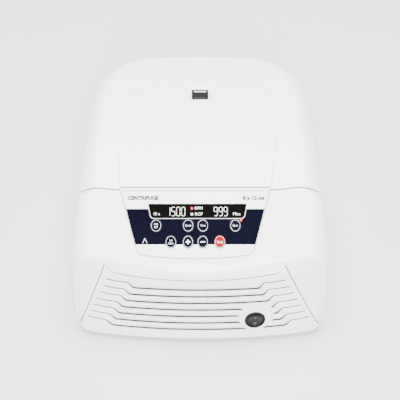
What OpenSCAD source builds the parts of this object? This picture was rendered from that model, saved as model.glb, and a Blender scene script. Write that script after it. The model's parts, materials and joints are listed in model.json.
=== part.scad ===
// Bench-top laboratory centrifuge with a fixed-angle rotor.
// Front faces -Y, +Z is up, the origin is under the middle of the casing at table height.

/* [Casing] */
// Half of the widest width of the casing
half_w = 157; // [145:1:170]
// How far the widest line of the front lies in front of the origin
front_len = 171; // [160:1:180]
// How far the foot of the front lies in front of the origin
foot_len = 182; // [174:1:190]
// How far the back lies behind the origin
back_len = 182; // [174:0.5:188]
// Height of the top of the lid
top_h = 186.3; // [180:0.1:200]
// Height of the lower rim of the casing
rim_z = 8; // [6:1:10]
// Wall thickness of the casing mouldings
wall = 3.5; // [2.5:0.1:4.5]
// Height of the widest line at the sides
waist_z = 144; // [136:1:148]
// Width of the rounded shoulder
shoulder_w = 30; // [22:1:36]
// The same at the back
back_shoulder = 20; // [14:1:30]
// Height at which the lid parts from the housing
split_z = 149; // [146:0.5:152]
// Front edge of the lid
split_y = -84; // [-88:0.5:-80]
// Open joint between lid and housing
lid_gap = 2; // [1.6:0.1:3]

/* [Control panel] */
// Slope of the control panel from level
panel_tilt = 35; // [30:1:40]
// Half width of the panel at its upper edge
panel_top_hw = 89.5; // [85:0.5:92]
// Half width of the panel at its lower corners
panel_low_hw = 74.5; // [70:0.5:78]
// Sideways place of the panel's middle
panel_x = -5.6; // [-7:0.1:-4]
// Length of the panel along the slope
panel_len = 76; // [72:1:80]
// Thickness of the overlay
overlay_t = 1.2; // [0.8:0.1:1.6]
// Width of a key
key_w = 13; // [11:0.1:14]
// Height of a key over its width
key_oval = 1.18; // [1:0.01:1.25]
// Travel of a key
key_travel = 0.5; // [0.3:0.05:0.8]

/* [Chamber and rotor] */
// Distance of the spindle behind the origin
chamber_y = 45; // [40:1:50]
// Inner radius of the bowl
bowl_r = 104; // [100:1:108]
// Height of the bowl floor
bowl_floor_z = 62; // [58:1:66]
// Sheet thickness of the bowl
bowl_t = 1.2; // [0.8:0.1:2]
// Thickness of the steel guard ring
guard_t = 3; // [2:0.5:4]
// Number of tube sleeves
sleeve_count = 8; // [6:1:8]
// Lean of the tubes from upright
tube_lean = 30; // [25:1:35]
// Distance of a sleeve mouth from the spindle
mouth_r = 40; // [38:1:42]
// Height of the sleeve mouths
mouth_z = 150; // [146:1:152]
// Inner radius of a sleeve
sleeve_r = 8.6; // [8:0.1:9]
// Depth of a sleeve
sleeve_depth = 84; // [70:1:86]

/* [Front grille] */
// Number of louvres
louvre_count = 7; // [5:1:7]
// Distance between louvres
louvre_pitch = 10.8; // [9:0.1:12]
// Height of the lowest louvre
louvre_low_z = 20.3; // [18:0.1:24]
// Sideways place of the power switch
switch_x = 67; // [60:1:75]
// Height of the power switch
switch_z = 38; // [34:1:44]
// Outer radius of the power switch
switch_r = 12.8; // [12:0.1:14]

/* [Hidden] */
$fn = 64;
play = 0.25;          // air between pieces that sit in one another
seat_gap = 0.3;       // air between the lid and what it closes on
eps = 0.01;

// ---- casing surface -------------------------------------------------------------------------
back_power = 4;       // roundness of the back corners: higher is squarer
front_power = 9;      // the same for the front corners, at the waist
foot_power = 24;      // and at the lower rim
waist_front_z = 98.2; // height of the widest line at the front
bend_r = 26;          // radius between the grille face and the control panel
bow = 0.00062;        // how strongly the front face bows outwards, per mm
foot_half_w = half_w - 5; // half width at the lower rim
taper_w = 7;          // the casing is this much narrower behind its front corners
crown = 0.00067;      // how strongly the lid is crowned from the front, per mm
back_crown = 0.0002;  // and from the back
crown_y = 65;         // where the crown is highest
step_h = 3;           // height of the raised middle of the lid over its side channels
step_w = 1.5;         // width of that step
channel_w = 40;       // width over which a side channel fades out
bend_y = -front_len + bend_r;
tangent_y = bend_y - bend_r * sin(panel_tilt);
tangent_z = waist_front_z + bend_r * cos(panel_tilt);

function ease(t) = let (u = max(0, min(1, t))) u * u * (3 - 2 * u);
function mix(a, b, t) = a + (b - a) * t;
function panel_line(y) = tangent_z + (y - tangent_y) * tan(panel_tilt);
function crown_line(y) = top_h - (y < crown_y ? crown : back_crown) * (y - crown_y) * (y - crown_y);
// Height of the middle line: the bend over the grille, then the panel's slope, then the lid's crown
function mid_line(y) = y < tangent_y
    ? waist_front_z + sqrt(max(0, bend_r * bend_r - (y - bend_y) * (y - bend_y)))
    : min(panel_line(y), crown_line(y));
function waist(y) = mix(waist_front_z, waist_z, ease((y + 150) / 90));
function taper(y) = 1 - taper_w / half_w * ease((y + 150) / 80);
function bow_at(y) = bow * ease((split_y - y) / 85);
// Half width of the raised middle, on the lid and down beside the control panel
function raised_hw(y) = y > split_y ? panel_top_hw + 9.1 - 0.00094 * (y - 10) * (y - 10)
    : panel_top_hw + 1.3 + (y - split_y) * (panel_top_hw - panel_low_hw) / (panel_len * cos(panel_tilt));
// Its middle line runs from the panel's middle to the viewing window
function mid_x(y) = panel_x * max(0, min(1, (view_y - y) / (view_y - split_y)));
function step_at(y) = y > split_y ? step_h * (1 - ease((y - 40) / 80)) : step_h * ease((y + 150) / 66);
function flat_hw(y) = (raised_hw(y) - panel_x) * ease((y + 166) / 14);
function channel(x, y) = let (d = abs(x - mid_x(y)) - raised_hw(y)) d <= 0 ? 0
    : step_at(y) * ease(d / step_w) * (1 - ease(d / channel_w));
// Unit superellipse at an angle, as a radius
function unit_r(angle, power) = pow(pow(abs(cos(angle)), power) + pow(abs(sin(angle)), power), -1 / power);
// Point of the plan outline at an angle, at depth 0 (the waist) to 1 (the lower rim), moved inwards
function plan(angle, depth, inset) = let (
    front = sin(angle) < 0,
    power = front ? mix(front_power, foot_power, depth) : back_power,
    r = unit_r(angle, power),
    length = (front ? mix(front_len, foot_len, depth) : back_len) - inset,
    y0 = r * sin(angle) * length,
    x = r * cos(angle) * (mix(half_w, foot_half_w, depth) - inset) * taper(y0))
    [x, y0];
function bowed(x, y0) = let (d = max(0, abs(x) - flat_hw(y0))) y0 + bow_at(y0) * d * d;
// Height of the casing over a point, for a row that ends at half width row_hw
function skin_z(x, y0, row_hw, inset) = let (
    length = back_len - inset,
    reach = (half_w - inset) * taper(y0),
    across = pow(abs(x) / reach, back_power),
    along = pow(max(0, y0) / length, back_power),
    width = (across * shoulder_w / reach + along * back_shoulder / length) / max(across + along, 0.001),
    q = y0 < 0 ? (abs(x) - (row_hw - shoulder_w)) / shoulder_w
        : 1 - (1 - pow(across + along, 1 / back_power)) / max(width, 0.001),
    fall = sqrt(max(0, 1 - pow(max(0, min(1, q)), 2))),
    low = waist(y0))
    low + (mid_line(y0) - inset - channel(x, y0) - low) * fall;

row_angles = [-90, -70, -55, -48, -44, -41, -38, -34, -29, -24, -19, -14, -9, -4, 0, 8, 16, 24, 32, 39,
    44, 49, 54, 60, 66, 72, 78, 84, 90];
raised_cols = 3;
outer_cols = 8;
cols = 2 * (raised_cols + 1 + outer_cols) + 1;
wall_levels = 4;
// Half widths of one row's points on one side, from the middle outwards
function row_steps(row_hw, y0, side) = let (hw = min(raised_hw(y0) + side * mid_x(y0), 0.7 * row_hw),
    edge = min(hw + step_w, mix(hw, row_hw, 0.1))) concat(
    [for (i = [0:raised_cols]) hw * i / raised_cols],
    [edge],
    [for (i = [1:outer_cols]) let (t = i / outer_cols) row_hw - (row_hw - edge) * (1 - t) * (1 - t)]);
function row_points(angle, inset) = let (
    end = plan(angle, 0, inset),
    left = row_steps(end[0], end[1], -1),
    xs = concat([for (i = [len(left) - 1:-1:1]) -left[i]], row_steps(end[0], end[1], 1)))
    [for (x = xs) [x, bowed(x, end[1]), skin_z(x, end[1], max(end[0], 0.01), inset)]];

// The whole casing, lid included, as one solid. inset moves its surface inwards.
module casing_solid(inset, low_z) {
    rows = [for (a = row_angles) row_points(a, inset)];
    n = len(row_angles);
    // The top sheet has one point at each end and full rows between
    top = concat([rows[0][0]], [for (i = [1:n - 2]) each rows[i]], [rows[n - 1][0]]);
    tip = len(top) - 1;
    function at(i, j) = 1 + (i - 1) * cols + j;
    ring_top = concat([0], [for (i = [1:n - 2]) at(i, cols - 1)], [tip], [for (i = [n - 2:-1:1]) at(i, 0)]);
    ring_n = len(ring_top);
    ring_angle = concat(row_angles, [for (i = [n - 2:-1:1]) 180 - row_angles[i]]);
    walls = [for (k = [1:wall_levels]) let (t = k / wall_levels) each [for (j = [0:ring_n - 1])
        let (p = plan(ring_angle[j], t, inset), z0 = top[ring_top[j]][2])
        [p[0], bowed(p[0], p[1]), mix(z0, low_z, t)]]];
    base = len(top);
    function ring(k, j) = k == 0 ? ring_top[j % ring_n] : base + (k - 1) * ring_n + j % ring_n;
    faces = concat(
        [for (j = [0:cols - 2]) [0, at(1, j), at(1, j + 1)]],
        [for (i = [1:n - 3], j = [0:cols - 2]) each [[at(i, j), at(i + 1, j), at(i + 1, j + 1)],
            [at(i, j), at(i + 1, j + 1), at(i, j + 1)]]],
        [for (j = [0:cols - 2]) [tip, at(n - 2, j + 1), at(n - 2, j)]],
        [for (k = [0:wall_levels - 1], j = [0:ring_n - 1]) each [[ring(k, j), ring(k, j + 1), ring(k + 1, j + 1)],
            [ring(k, j), ring(k + 1, j + 1), ring(k + 1, j)]]],
        [[for (j = [0:ring_n - 1]) ring(wall_levels, j)]]);
    polyhedron(concat(top, walls), faces, convexity = 8);
}

module box(low, high) { translate(low) cube(high - low); }
module at_spindle() { translate([0, chamber_y, 0]) children(); }
module ring(r_in, r_out, z0, z1) {
    translate([0, 0, z0]) difference() {
        cylinder(r = r_out, h = z1 - z0);
        translate([0, 0, -1]) cylinder(r = r_in, h = z1 - z0 + 2);
    }
}
module mirrored() { children(); mirror([1, 0, 0]) children(); }

// ---- places that several pieces share -----------------------------------------------------
foot_h = 10;                    // height of a foot, to the underside of the base plate
plate_t = 2;                    // base plate
base_top = foot_h + plate_t;
deck_top = split_z;
deck_t = 3;
deck_low = deck_top - deck_t;
deck_hole_r = bowl_r + 2;
lid_low = split_z + lid_gap;    // lower edge of the lid
liner_low = deck_top + 3.3;     // underside of the lid's liner
liner_t = 2;
liner_edge = wall + 5;          // the liner stays this far inside the casing
liner_back_y = 166;
dome_z = 168;                   // ceiling over the tubes
hinge_y = back_len - 3;         // lid axis
hinge_z = split_z - 2;
hinge_x = 46;                   // middle of each hinge
hinge_r = 3;                    // knuckle
pin_r = 1.5;                    // hinge pin
run_gap = 0.05;                 // radial clearance of a running fit
ear_w = 6;
knuckle_hw = 11.7;
spindle_r = 5;
bearing_r = 13;
bearing_h = 5;
motor_r = 45;
motor_low = 16;
flange_low = 44;
flange_t = 5;
flange_r = 78;
damper_r = 68;                  // circle of the rubber dampers
damper_h = 12;
hub_low = 96;                   // rotor hub
hub_top = 124;
spindle_top = hub_top + 10;
sleeve_wall = 1;
sleeve_lip = 4;                 // a sleeve stands this far out of its mouth plane
sleeve_floor = 4;
view_y = chamber_y + 37.4;      // middle of the viewing window
view_hw = 9.8;                  // half its width
view_t = 4;
striker_y = -76;                // front face of the lid's catch plate
striker_t = 3;
catch_z = 124;                  // height of the lock bolt
bolt_r = 3.2;
bolt_travel = 8;
screw_r = 1.6;
post_r = 4.5;
plate_back_y = back_len - wall - 7.5; // inner face of the rear plate
rear_hw = 82;
rear_top = 90;
fan_hw = 25;
fan_x = -54;
fan_z = 50;
fan_depth = 15;
inlet_x = 50;
inlet_z = 42;

// Front face at a height, on the middle line, and its lean back from upright
face_lean = atan((foot_len - front_len) / (waist_front_z - rim_z));
function face_y(x, z) = -foot_len + (z - rim_z) * tan(face_lean) + bow * x * x;
// Puts children on the front face at (x, z) with their +Z pointing out of it
module on_face(x, z) {
    translate([x, face_y(x, z), z]) rotate([90 - face_lean, 0, 0]) rotate([0, atan(2 * bow * x), 0]) children();
}
// Puts children on the control panel: +Y runs up its slope from the lower edge, +Z points out of it
panel_low_y = split_y - 4.6 - panel_len * cos(panel_tilt);
module on_panel(x = 0, along = 0, out = 0) {
    translate([0, panel_low_y, panel_line(panel_low_y)]) rotate([panel_tilt, 0, 0]) translate([x, along, out]) children();
}

// Overlay outline: wide at the top, rounded corners and a bowed edge at the bottom
function arc(cx, cy, r, a0, a1, n) = [for (i = [0:n]) let (a = a0 + (a1 - a0) * i / n) [cx + r * cos(a), cy + r * sin(a)]];
overlay_lift = 0.5;             // where the lower corners end
overlay_drop = 4.3;             // the bowed lower edge drops this far in the middle
corner_r = 16;
side_lean = atan((panel_top_hw - panel_low_hw) / (panel_len - overlay_lift));
module overlay_outline(grow = 0) {
    right = concat([[panel_top_hw + grow, panel_len + grow]],
        arc(panel_low_hw - corner_r, overlay_lift + corner_r, corner_r + grow, -side_lean, -80, 7));
    end = right[len(right) - 1];
    left = [for (i = [len(right) - 1:-1:0]) [-right[i][0], right[i][1]]];
    low = [for (i = [1:7]) let (t = 1 - i / 4) [end[0] * t, end[1] - overlay_drop * (1 - t * t)]];
    translate([panel_x, 0]) polygon(concat(right, low, left));
}

// Keys: name order, sideways place and place along the slope
row_1 = 35.4;
row_2 = 16;
KEYS = [[-52, row_1], [-14, row_1], [3.4, row_1], [41.8, row_1], [-34.3, row_2], [-14.2, row_2], [3.2, row_2], [23.4, row_2]];
key_top = overlay_t + 0.4;
key_low = -5.4;
board_out = -12;                // back face of the display board, from the casing's surface
board_t = 1.6;
board_top = board_out + board_t;
display_x = -3;
display_mid = 53;
display_hw = 58;
display_h = 17.5;
led_x = 48.6;
led_along = 42;
led_r = 1.5;
module key_outline(grow = 0) { scale([1, key_oval]) circle(r = key_w / 2 + grow); }
module display_outline(grow = 0) {
    polygon([[-display_hw + 3 - grow, -display_h / 2 - grow], [display_hw - 3 + grow, -display_h / 2 - grow],
        [display_hw + grow, display_h / 2 + grow], [-display_hw - grow, display_h / 2 + grow]]);
}

// Front grille: a trapezoid cut through the casing's front wall
grille_top_z = 102;
grille_top_hw = 116;
grille_low_z = 14;
grille_low_hw = 143;
module grille_block(grow) {
    translate([0, -136, 0]) rotate([90, 0, 0]) linear_extrude(90)
        polygon([[-grille_low_hw - grow, grille_low_z - grow], [grille_low_hw + grow, grille_low_z - grow],
            [grille_top_hw + grow, grille_top_z + grow], [-grille_top_hw - grow, grille_top_z + grow]]);
}
louvre_h = 3.4;
louvre_drop = 3.4;              // the middle of a louvre lies this much lower than its ends
louvre_end = 26;                // length of an end
collar_r = 20;
function louvre_z(i) = louvre_low_z + i * louvre_pitch;
function grille_hw(z) = mix(grille_low_hw, grille_top_hw, (z - grille_low_z) / (grille_top_z - grille_low_z));
module slot_rod(x, z, h) { translate([x, -150, z]) rotate([90, 0, 0]) cylinder(r = h / 2, h = 60, $fn = 12); }
module louvre(i) {
    z = louvre_z(i);
    reach = grille_hw(z) - 6;
    high = z + louvre_drop;
    mirrored() {
        hull() { slot_rod(reach, high, 1.6); slot_rod(reach - louvre_end + 6, high, 2); }
        hull() { slot_rod(reach - louvre_end + 6, high, 2); slot_rod(reach - louvre_end - 4, z, louvre_h); }
        hull() { slot_rod(reach - louvre_end - 4, z, louvre_h); slot_rod(0, z - 0.5, louvre_h); }
    }
}

// Plan outline of the casing behind the lid's front edge, moved inwards
module lid_plan(inset, front_y) {
    side = [for (a = [-34:4:86]) if (plan(a, 0, inset)[1] > front_y + 1) plan(a, 0, inset)];
    hw = side[0][0];
    polygon(concat([[hw, front_y]], side, [[0, back_len - inset]],
        [for (i = [len(side) - 1:-1:0]) [-side[i][0], side[i][1]]], [[-hw, front_y]]));
}
lid_posts = [[-118, -62], [118, -62], [-126, 60], [126, 60], [-92, 148], [92, 148]];
base_post_sides = [-30, 6, 42, 138, 174, 210];  // where round the casing the base screws go
function on_wall(a, inset) = let (p = plan(a, 0.8, inset)) [p[0], bowed(p[0], p[1]), 0];
base_posts = [for (a = base_post_sides) on_wall(a, wall + 9)];
module hinge_spots() { for (x = [-hinge_x, hinge_x]) translate([x, 0, 0]) children(); }

// ---- pieces ---------------------------------------------------------------------------------
module housing() {
    color("whitesmoke") difference() {
        union() {
            difference() {
                casing_solid(0, rim_z);
                difference() {
                    casing_solid(wall, rim_z - 1);
                    // Deck round the chamber and the wall in front of it
                    box([-200, split_y - 3, deck_low], [200, 200, deck_top]);
                    box([-200, split_y - 3, deck_low], [200, split_y, 200]);
                }
                box([-200, split_y, split_z], [200, 200, 250]);
            }
            // Posts for the base screws, each joined to the wall by a web
            for (a = base_post_sides) hull() {
                translate(on_wall(a, wall + 9)) translate([0, 0, base_top]) cylinder(r = post_r, h = 24, $fn = 16);
                translate(on_wall(a, wall * 0.7)) translate([0, 0, base_top + 14]) cylinder(r = 0.8, h = 26, $fn = 8);
            }
            // Posts for the display board
            for (x = [-46, 46], y = [22, 65]) on_panel(x, y, board_top)
                hull() { cylinder(r = 2.6, h = 3, $fn = 12); cylinder(r = 3.4, h = -board_top - wall * 0.5, $fn = 12); }
        }
        casing_below();
        for (p = base_posts) translate(p) cylinder(r = screw_r, h = 30, $fn = 12);
        at_spindle() translate([0, 0, deck_low - 1]) cylinder(r = deck_hole_r, h = 10, $fn = 72);
        grille_block(0.4);
        // Recess for the overlay, and openings for keys, display and lamp
        on_panel(0, 0, -0.9) linear_extrude(12) overlay_outline(play);
        for (k = KEYS) on_panel(k[0], k[1], -9) linear_extrude(12) key_outline(play);
        on_panel(display_x, display_mid, -9) linear_extrude(12) display_outline(-2);
        on_panel(led_x, led_along, -9) cylinder(r = led_r + play, h = 12, $fn = 16);
        // Hinge pockets, slot for the lid's catch and opening for the rear plate
        hinge_spots() box([-knuckle_hw - ear_w - 0.8, 165.7, hinge_z - 9], [knuckle_hw + ear_w + 0.8, 200, 250]);
        box([-12, striker_y - 3, deck_low - 1], [12, striker_y + striker_t + 4, deck_top + 1]);
        box([-rear_hw + 4, 150, base_top + 6], [rear_hw - 4, 220, rear_top - 4]);
        // Air slots in both sides
        for (side = [-1, 1], i = [0:6]) translate([side * 140, -30 + 14 * i, 40]) hull() {
            rotate([0, 90, 0]) cylinder(r = 1.6, h = 40, center = true, $fn = 8);
            translate([0, 0, 30]) rotate([0, 90, 0]) cylinder(r = 1.6, h = 40, center = true, $fn = 8);
        }
    }
}
module casing_below() { translate([-250, -250, -50]) cube([500, 500, 50 + rim_z]); }

module base_plate() {
    color("silver") difference() {
        translate([0, 0, foot_h]) linear_extrude(plate_t) polygon([for (a = [0:6:354])
            let (p = plan(a, 1, wall + 1)) [p[0], bowed(p[0], p[1])]]);
        for (p = base_posts) translate(p) cylinder(r = screw_r, h = 30);
    }
}

foot_x = foot_half_w - 50.52;
foot_ys = [-140, 124];
foot_r = 14;
module feet() {
    color("dimgray") for (x = [-foot_x, foot_x], y = foot_ys) translate([x, y, 0]) rotate_extrude()
        polygon([[0, 0], [foot_r - 2, 0], [foot_r, foot_h - 3], [foot_r, foot_h], [0, foot_h]]);
}

module front_grille() {
    color("white") difference() {
        intersection() {
            casing_solid(0, rim_z);
            grille_block(0);
        }
        casing_solid(wall, rim_z - 1);
        casing_below();
        difference() {
            for (i = [0:louvre_count - 1]) louvre(i);
            on_face(switch_x, switch_z) translate([0, 0, -30]) cylinder(r = collar_r, h = 60, $fn = 32);
        }
        on_face(switch_x, switch_z) translate([0, 0, -30]) cylinder(r = switch_r - 1.5, h = 60, $fn = 32);
    }
}

module panel_overlay() {
    color("midnightblue") on_panel(0, 0, -0.9 + eps) difference() {
        linear_extrude(overlay_t) overlay_outline(0);
        for (k = KEYS) translate([k[0], k[1], -1]) linear_extrude(4) key_outline(play);
        translate([display_x, display_mid, -1]) linear_extrude(4) display_outline(play);
        translate([led_x, led_along, -1]) cylinder(r = led_r + play, h = 4);
    }
}

module display_lens() {
    color("black") on_panel(display_x, display_mid, -0.9 + eps) linear_extrude(overlay_t) display_outline(0);
}

module display_board() {
    color("darkgreen") on_panel(0, 0, board_out) translate([-62, 8, 0]) cube([124, 60, board_t]);
}

module led_displays() {
    color("darkred") for (x = [-30, 25]) on_panel(x, display_mid, board_top) translate([-14, -6, 0])
        cube([28, 12, -board_top - 1.2]);
}

module tact_switches() {
    color("gray") for (k = KEYS) on_panel(k[0], k[1], board_top) translate([-3, -3, 0])
        cube([6, 6, key_low - key_travel - 0.1 - board_top]);
}

module start_led() {
    color("red") on_panel(led_x, led_along, board_top) rotate_extrude()
        polygon([[0, 0], [led_r, 0], [led_r, -board_top - 0.2], [led_r * 0.6, -board_top + 1], [0, -board_top + 1.3]]);
}

module power_switch_body() {
    color("black") on_face(switch_x, switch_z) translate([0, 0, 0.4]) difference() {
        union() {
            cylinder(r = switch_r, h = 2.2);
            translate([0, 0, -20]) cylinder(r = switch_r - 2, h = 20 + eps);
        }
        translate([0, 0, -6]) cylinder(r = switch_r - 2.6, h = 10);
    }
}

rocker_r = switch_r - 3.1;
rocker_swing = 12;
module power_rocker() {
    color("dimgray") on_face(switch_x, switch_z) translate([0, 0, 0.4]) rotate([rocker_swing / 2, 0, 0]) intersection() {
        translate([0, 0, -3]) cylinder(r = rocker_r, h = 6);
        rotate([0, 90, 0]) cylinder(r = rocker_r, h = 40, center = true);
    }
}

module chamber_bowl() {
    color("silver") at_spindle() rotate_extrude() polygon([
        [16, bowl_floor_z - bowl_t], [bowl_r + bowl_t, bowl_floor_z - bowl_t], [bowl_r + bowl_t, deck_low - bowl_t],
        [bowl_r + 8, deck_low - bowl_t], [bowl_r + 8, deck_low], [bowl_r, deck_low], [bowl_r, bowl_floor_z],
        [16, bowl_floor_z]]);
}

module bowl_gasket() {
    color("dimgray") at_spindle() ring(deck_hole_r + 0.5, deck_hole_r + 6, deck_top, liner_low - seat_gap);
}

module guard_ring() {
    color("slategray") at_spindle() ring(bowl_r + 4, bowl_r + 4 + guard_t, base_top, deck_low - bowl_t);
}

module motor_housing() {
    color("gray") at_spindle() difference() {
        translate([0, 0, motor_low]) cylinder(r = motor_r, h = flange_low - motor_low);
        translate([0, 0, motor_low + bearing_h + 1]) cylinder(r = motor_r - 3, h = 40);
        cylinder(r = bearing_r, h = 60);
    }
}

module motor_stator() {
    color("peru") at_spindle() ring(29, motor_r - 3, motor_low + bearing_h + 1, flange_low - 3);
}

module motor_flange() {
    color("lightgray") at_spindle() difference() {
        translate([0, 0, flange_low]) cylinder(r = flange_r, h = flange_t);
        cylinder(r = bearing_r, h = 100);
        for (a = [45:90:315]) rotate([0, 0, a]) translate([damper_r, 0, 0]) cylinder(r = 3, h = 100);
    }
}

module at_dampers() { at_spindle() for (a = [45:90:315]) rotate([0, 0, a]) translate([damper_r, 0, 0]) children(); }
module motor_dampers() {
    color("black") at_dampers() difference() {
        translate([0, 0, flange_low - damper_h]) rotate_extrude() polygon([[0, 0], [9, 0], [9, 3], [7.5, 6], [9, 9],
            [9, damper_h], [0, damper_h]]);
        translate([0, 0, flange_low - 6]) cylinder(r = 3, h = 10);
    }
}

module damper_posts() {
    color("silver") at_dampers() translate([0, 0, base_top]) cylinder(r = 7, h = flange_low - damper_h - base_top);
}

module flange_screws() {
    color("silver") at_dampers() {
        translate([0, 0, flange_low - 6]) cylinder(r = 3, h = flange_t + 6);
        translate([0, 0, flange_low + flange_t]) difference() {
            cylinder(r = 5.5, h = 4);
            translate([0, 0, 2]) cylinder(r = 2.5, h = 4, $fn = 6);
        }
    }
}

module spindle_bearings() {
    color("silver") at_spindle() {
        ring(spindle_r + run_gap, bearing_r, motor_low + 1, motor_low + 1 + bearing_h);
        ring(spindle_r + run_gap, bearing_r, flange_low, flange_low + flange_t);
    }
}

module spindle_boot() {
    color("black") at_spindle() rotate_extrude() polygon([[17, flange_low + flange_t], [26, flange_low + flange_t],
        [24, 54], [26, bowl_floor_z - bowl_t], [17, bowl_floor_z - bowl_t], [17, 54]]);
}

module spindle() {
    color("silver") at_spindle() translate([0, 0, motor_low + 0.5]) cylinder(r = spindle_r, h = spindle_top - motor_low - 0.5);
}

module motor_magnet() {
    color("dimgray") at_spindle() ring(spindle_r, 27, motor_low + bearing_h + 3, flange_low - 5);
}

sleeve_out = sleeve_r + sleeve_wall;
module at_sleeves() {
    at_spindle() for (i = [0:sleeve_count - 1]) rotate([0, 0, (i + 0.5) * 360 / sleeve_count])
        translate([mouth_r, 0, mouth_z]) rotate([0, -tube_lean, 0]) children();
}
module rotor_body() {
    color("darkgray") difference() {
        at_spindle() rotate_extrude() polygon([[spindle_r, hub_low], [16, hub_low], [20, 104], [46, 112], [72, 66],
            [95, 66], [99, 74], [99, 82], [57, 146], [45, 146], [30, 122], [20, 120], [16, hub_top], [spindle_r, hub_top]]);
        at_sleeves() translate([0, 0, -sleeve_depth - sleeve_floor]) cylinder(r = sleeve_out, h = 200);
    }
}

module tube_sleeves() {
    color("silver") at_sleeves() difference() {
        translate([0, 0, -sleeve_depth - sleeve_floor]) cylinder(r = sleeve_out, h = sleeve_depth + sleeve_floor + sleeve_lip);
        translate([0, 0, -sleeve_depth]) cylinder(r = sleeve_r, h = 200);
    }
}

module rotor_nut() {
    color("silver") at_spindle() difference() {
        translate([0, 0, hub_top]) rotate_extrude() polygon([[0, 0], [13, 0], [13, 5], [10, 8], [10, 16], [8.5, 18], [0, 18]]);
        translate([0, 0, hub_top - 1]) cylinder(r = spindle_r, h = spindle_top - hub_top + 1);
    }
}

module drive_board() {
    color("darkgreen") translate([-70, -146, base_top + 10]) cube([140, 68, board_t]);
}
board_face = base_top + 10 + board_t;
module board_standoffs() {
    color("gold") for (x = [-64, 64], y = [-140, -84]) translate([x, y, base_top]) cylinder(r = 3, h = 10);
}
module heat_sink() {
    color("gray") translate([-46, -136, board_face]) union() {
        cube([60, 34, 4]);
        for (i = [0:6]) translate([i * 9.5, 0, 4 - eps]) cube([3, 34, 24]);
    }
}
module capacitors() {
    color("darkslateblue") for (x = [30, 56]) translate([x, -104, board_face]) cylinder(r = 11, h = 32);
}
module imbalance_sensor() {
    color("black") translate([flange_r + 4, chamber_y - 8, base_top]) union() {
        cube([10, 16, 30]);
        translate([-3, 5, 28]) cube([4, 6, 6]);
    }
}

module fan_frame() {
    color("black") translate([fan_x, plate_back_y, fan_z]) rotate([90, 0, 0]) difference() {
        translate([-fan_hw, -fan_hw, 0]) cube([2 * fan_hw, 2 * fan_hw, fan_depth]);
        difference() {
            translate([0, 0, -1]) cylinder(r = fan_hw - 1.5, h = fan_depth + 2);
            cylinder(r = 9, h = 3);
            for (a = [0:90:270]) rotate([0, 0, a]) translate([0, -1.5, 0]) cube([fan_hw, 3, 3]);
        }
    }
}
module fan_impeller() {
    color("dimgray") translate([fan_x, plate_back_y, fan_z]) rotate([90, 0, 0]) union() {
        translate([0, 0, 3.2]) cylinder(r = 10, h = 10.5);
        for (a = [0:360 / 7:359]) rotate([0, 0, a]) translate([9, 0, 8]) rotate([35, 0, 0]) translate([0, -5, -0.6])
            cube([13, 10, 1.2]);
    }
}

module rear_plate() {
    color("silver") difference() {
        box([-rear_hw, plate_back_y, base_top], [rear_hw, plate_back_y + 1.6, rear_top]);
        translate([fan_x, plate_back_y + 4, fan_z]) rotate([90, 0, 0]) difference() {
            cylinder(r = fan_hw - 3, h = 8);
            for (a = [0, 90]) rotate([0, 0, a]) translate([-fan_hw, -1.2, -1]) cube([2 * fan_hw, 2.4, 12]);
            translate([0, 0, -1]) difference() {
                cylinder(r = 15, h = 12);
                cylinder(r = 12.5, h = 12);
            }
        }
        box([inlet_x - 14.2, plate_back_y - 1, inlet_z - 18.2], [inlet_x + 14.2, plate_back_y + 3, inlet_z + 14.2]);
    }
}
inlet_hw = 14;
drawer_hw = 9;
drawer_low = inlet_z - 16;
drawer_travel = 12;
module mains_inlet() {
    color("black") difference() {
        union() {
            box([inlet_x - inlet_hw, plate_back_y - 20, inlet_z - 18], [inlet_x + inlet_hw, plate_back_y + 2, inlet_z + 14]);
            box([inlet_x - inlet_hw - 6, plate_back_y + 1.6, inlet_z - 21], [inlet_x + inlet_hw + 6, plate_back_y + 4.2, inlet_z + 17]);
        }
        // Socket and fuse drawer opening
        box([inlet_x - 12, plate_back_y - 12, inlet_z - 6], [inlet_x + 12, plate_back_y + 10, inlet_z + 10]);
        box([inlet_x - drawer_hw - play, plate_back_y - 16, drawer_low - play],
            [inlet_x + drawer_hw + play, plate_back_y + 10, drawer_low + 7 + play]);
    }
    color("silver") for (x = [-6, 0, 6]) translate([inlet_x + x, plate_back_y - 12, inlet_z + (x == 0 ? 5 : -1)])
        translate([-1, 0, -2]) cube([2, 12, 4]);
}
module fuse_drawer() {
    color("dimgray") box([inlet_x - drawer_hw, plate_back_y - 15, drawer_low],
        [inlet_x + drawer_hw, plate_back_y + 5, drawer_low + 7]);
}

module hinge_brackets() {
    color("silver") hinge_spots() {
        box([-knuckle_hw - ear_w, 155, deck_low - 3], [knuckle_hw + ear_w, 167, deck_low]);
        mirrored() difference() {
            union() {
                box([knuckle_hw + 0.3, 166, deck_low - 3], [knuckle_hw + ear_w, hinge_y, hinge_z + 1.4]);
                translate([knuckle_hw + 0.3, hinge_y, hinge_z]) rotate([0, 90, 0]) cylinder(r = hinge_r, h = ear_w - 0.3);
            }
            translate([0, hinge_y, hinge_z]) rotate([0, 90, 0]) cylinder(r = pin_r, h = 40);
        }
    }
}
module hinge_pins() {
    color("gray") hinge_spots() translate([-knuckle_hw - ear_w, hinge_y, hinge_z]) rotate([0, 90, 0])
        cylinder(r = pin_r, h = 2 * (knuckle_hw + ear_w));
}
module lid_hinge_arms() {
    color("silver") hinge_spots() difference() {
        union() {
            translate([-knuckle_hw, hinge_y, hinge_z]) rotate([0, 90, 0]) cylinder(r = hinge_r, h = 2 * knuckle_hw);
            box([-knuckle_hw, 167.5, hinge_z - 1.5], [knuckle_hw, hinge_y, hinge_z + 2]);
            box([-knuckle_hw, 167.5, hinge_z - 1.5], [knuckle_hw, 171.5, liner_low + liner_t + 3]);
            box([-knuckle_hw, 150, liner_low + liner_t], [knuckle_hw, 171.5, liner_low + liner_t + 3]);
        }
        translate([-20, hinge_y, hinge_z]) rotate([0, 90, 0]) cylinder(r = pin_r + run_gap, h = 40);
    }
}

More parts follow.
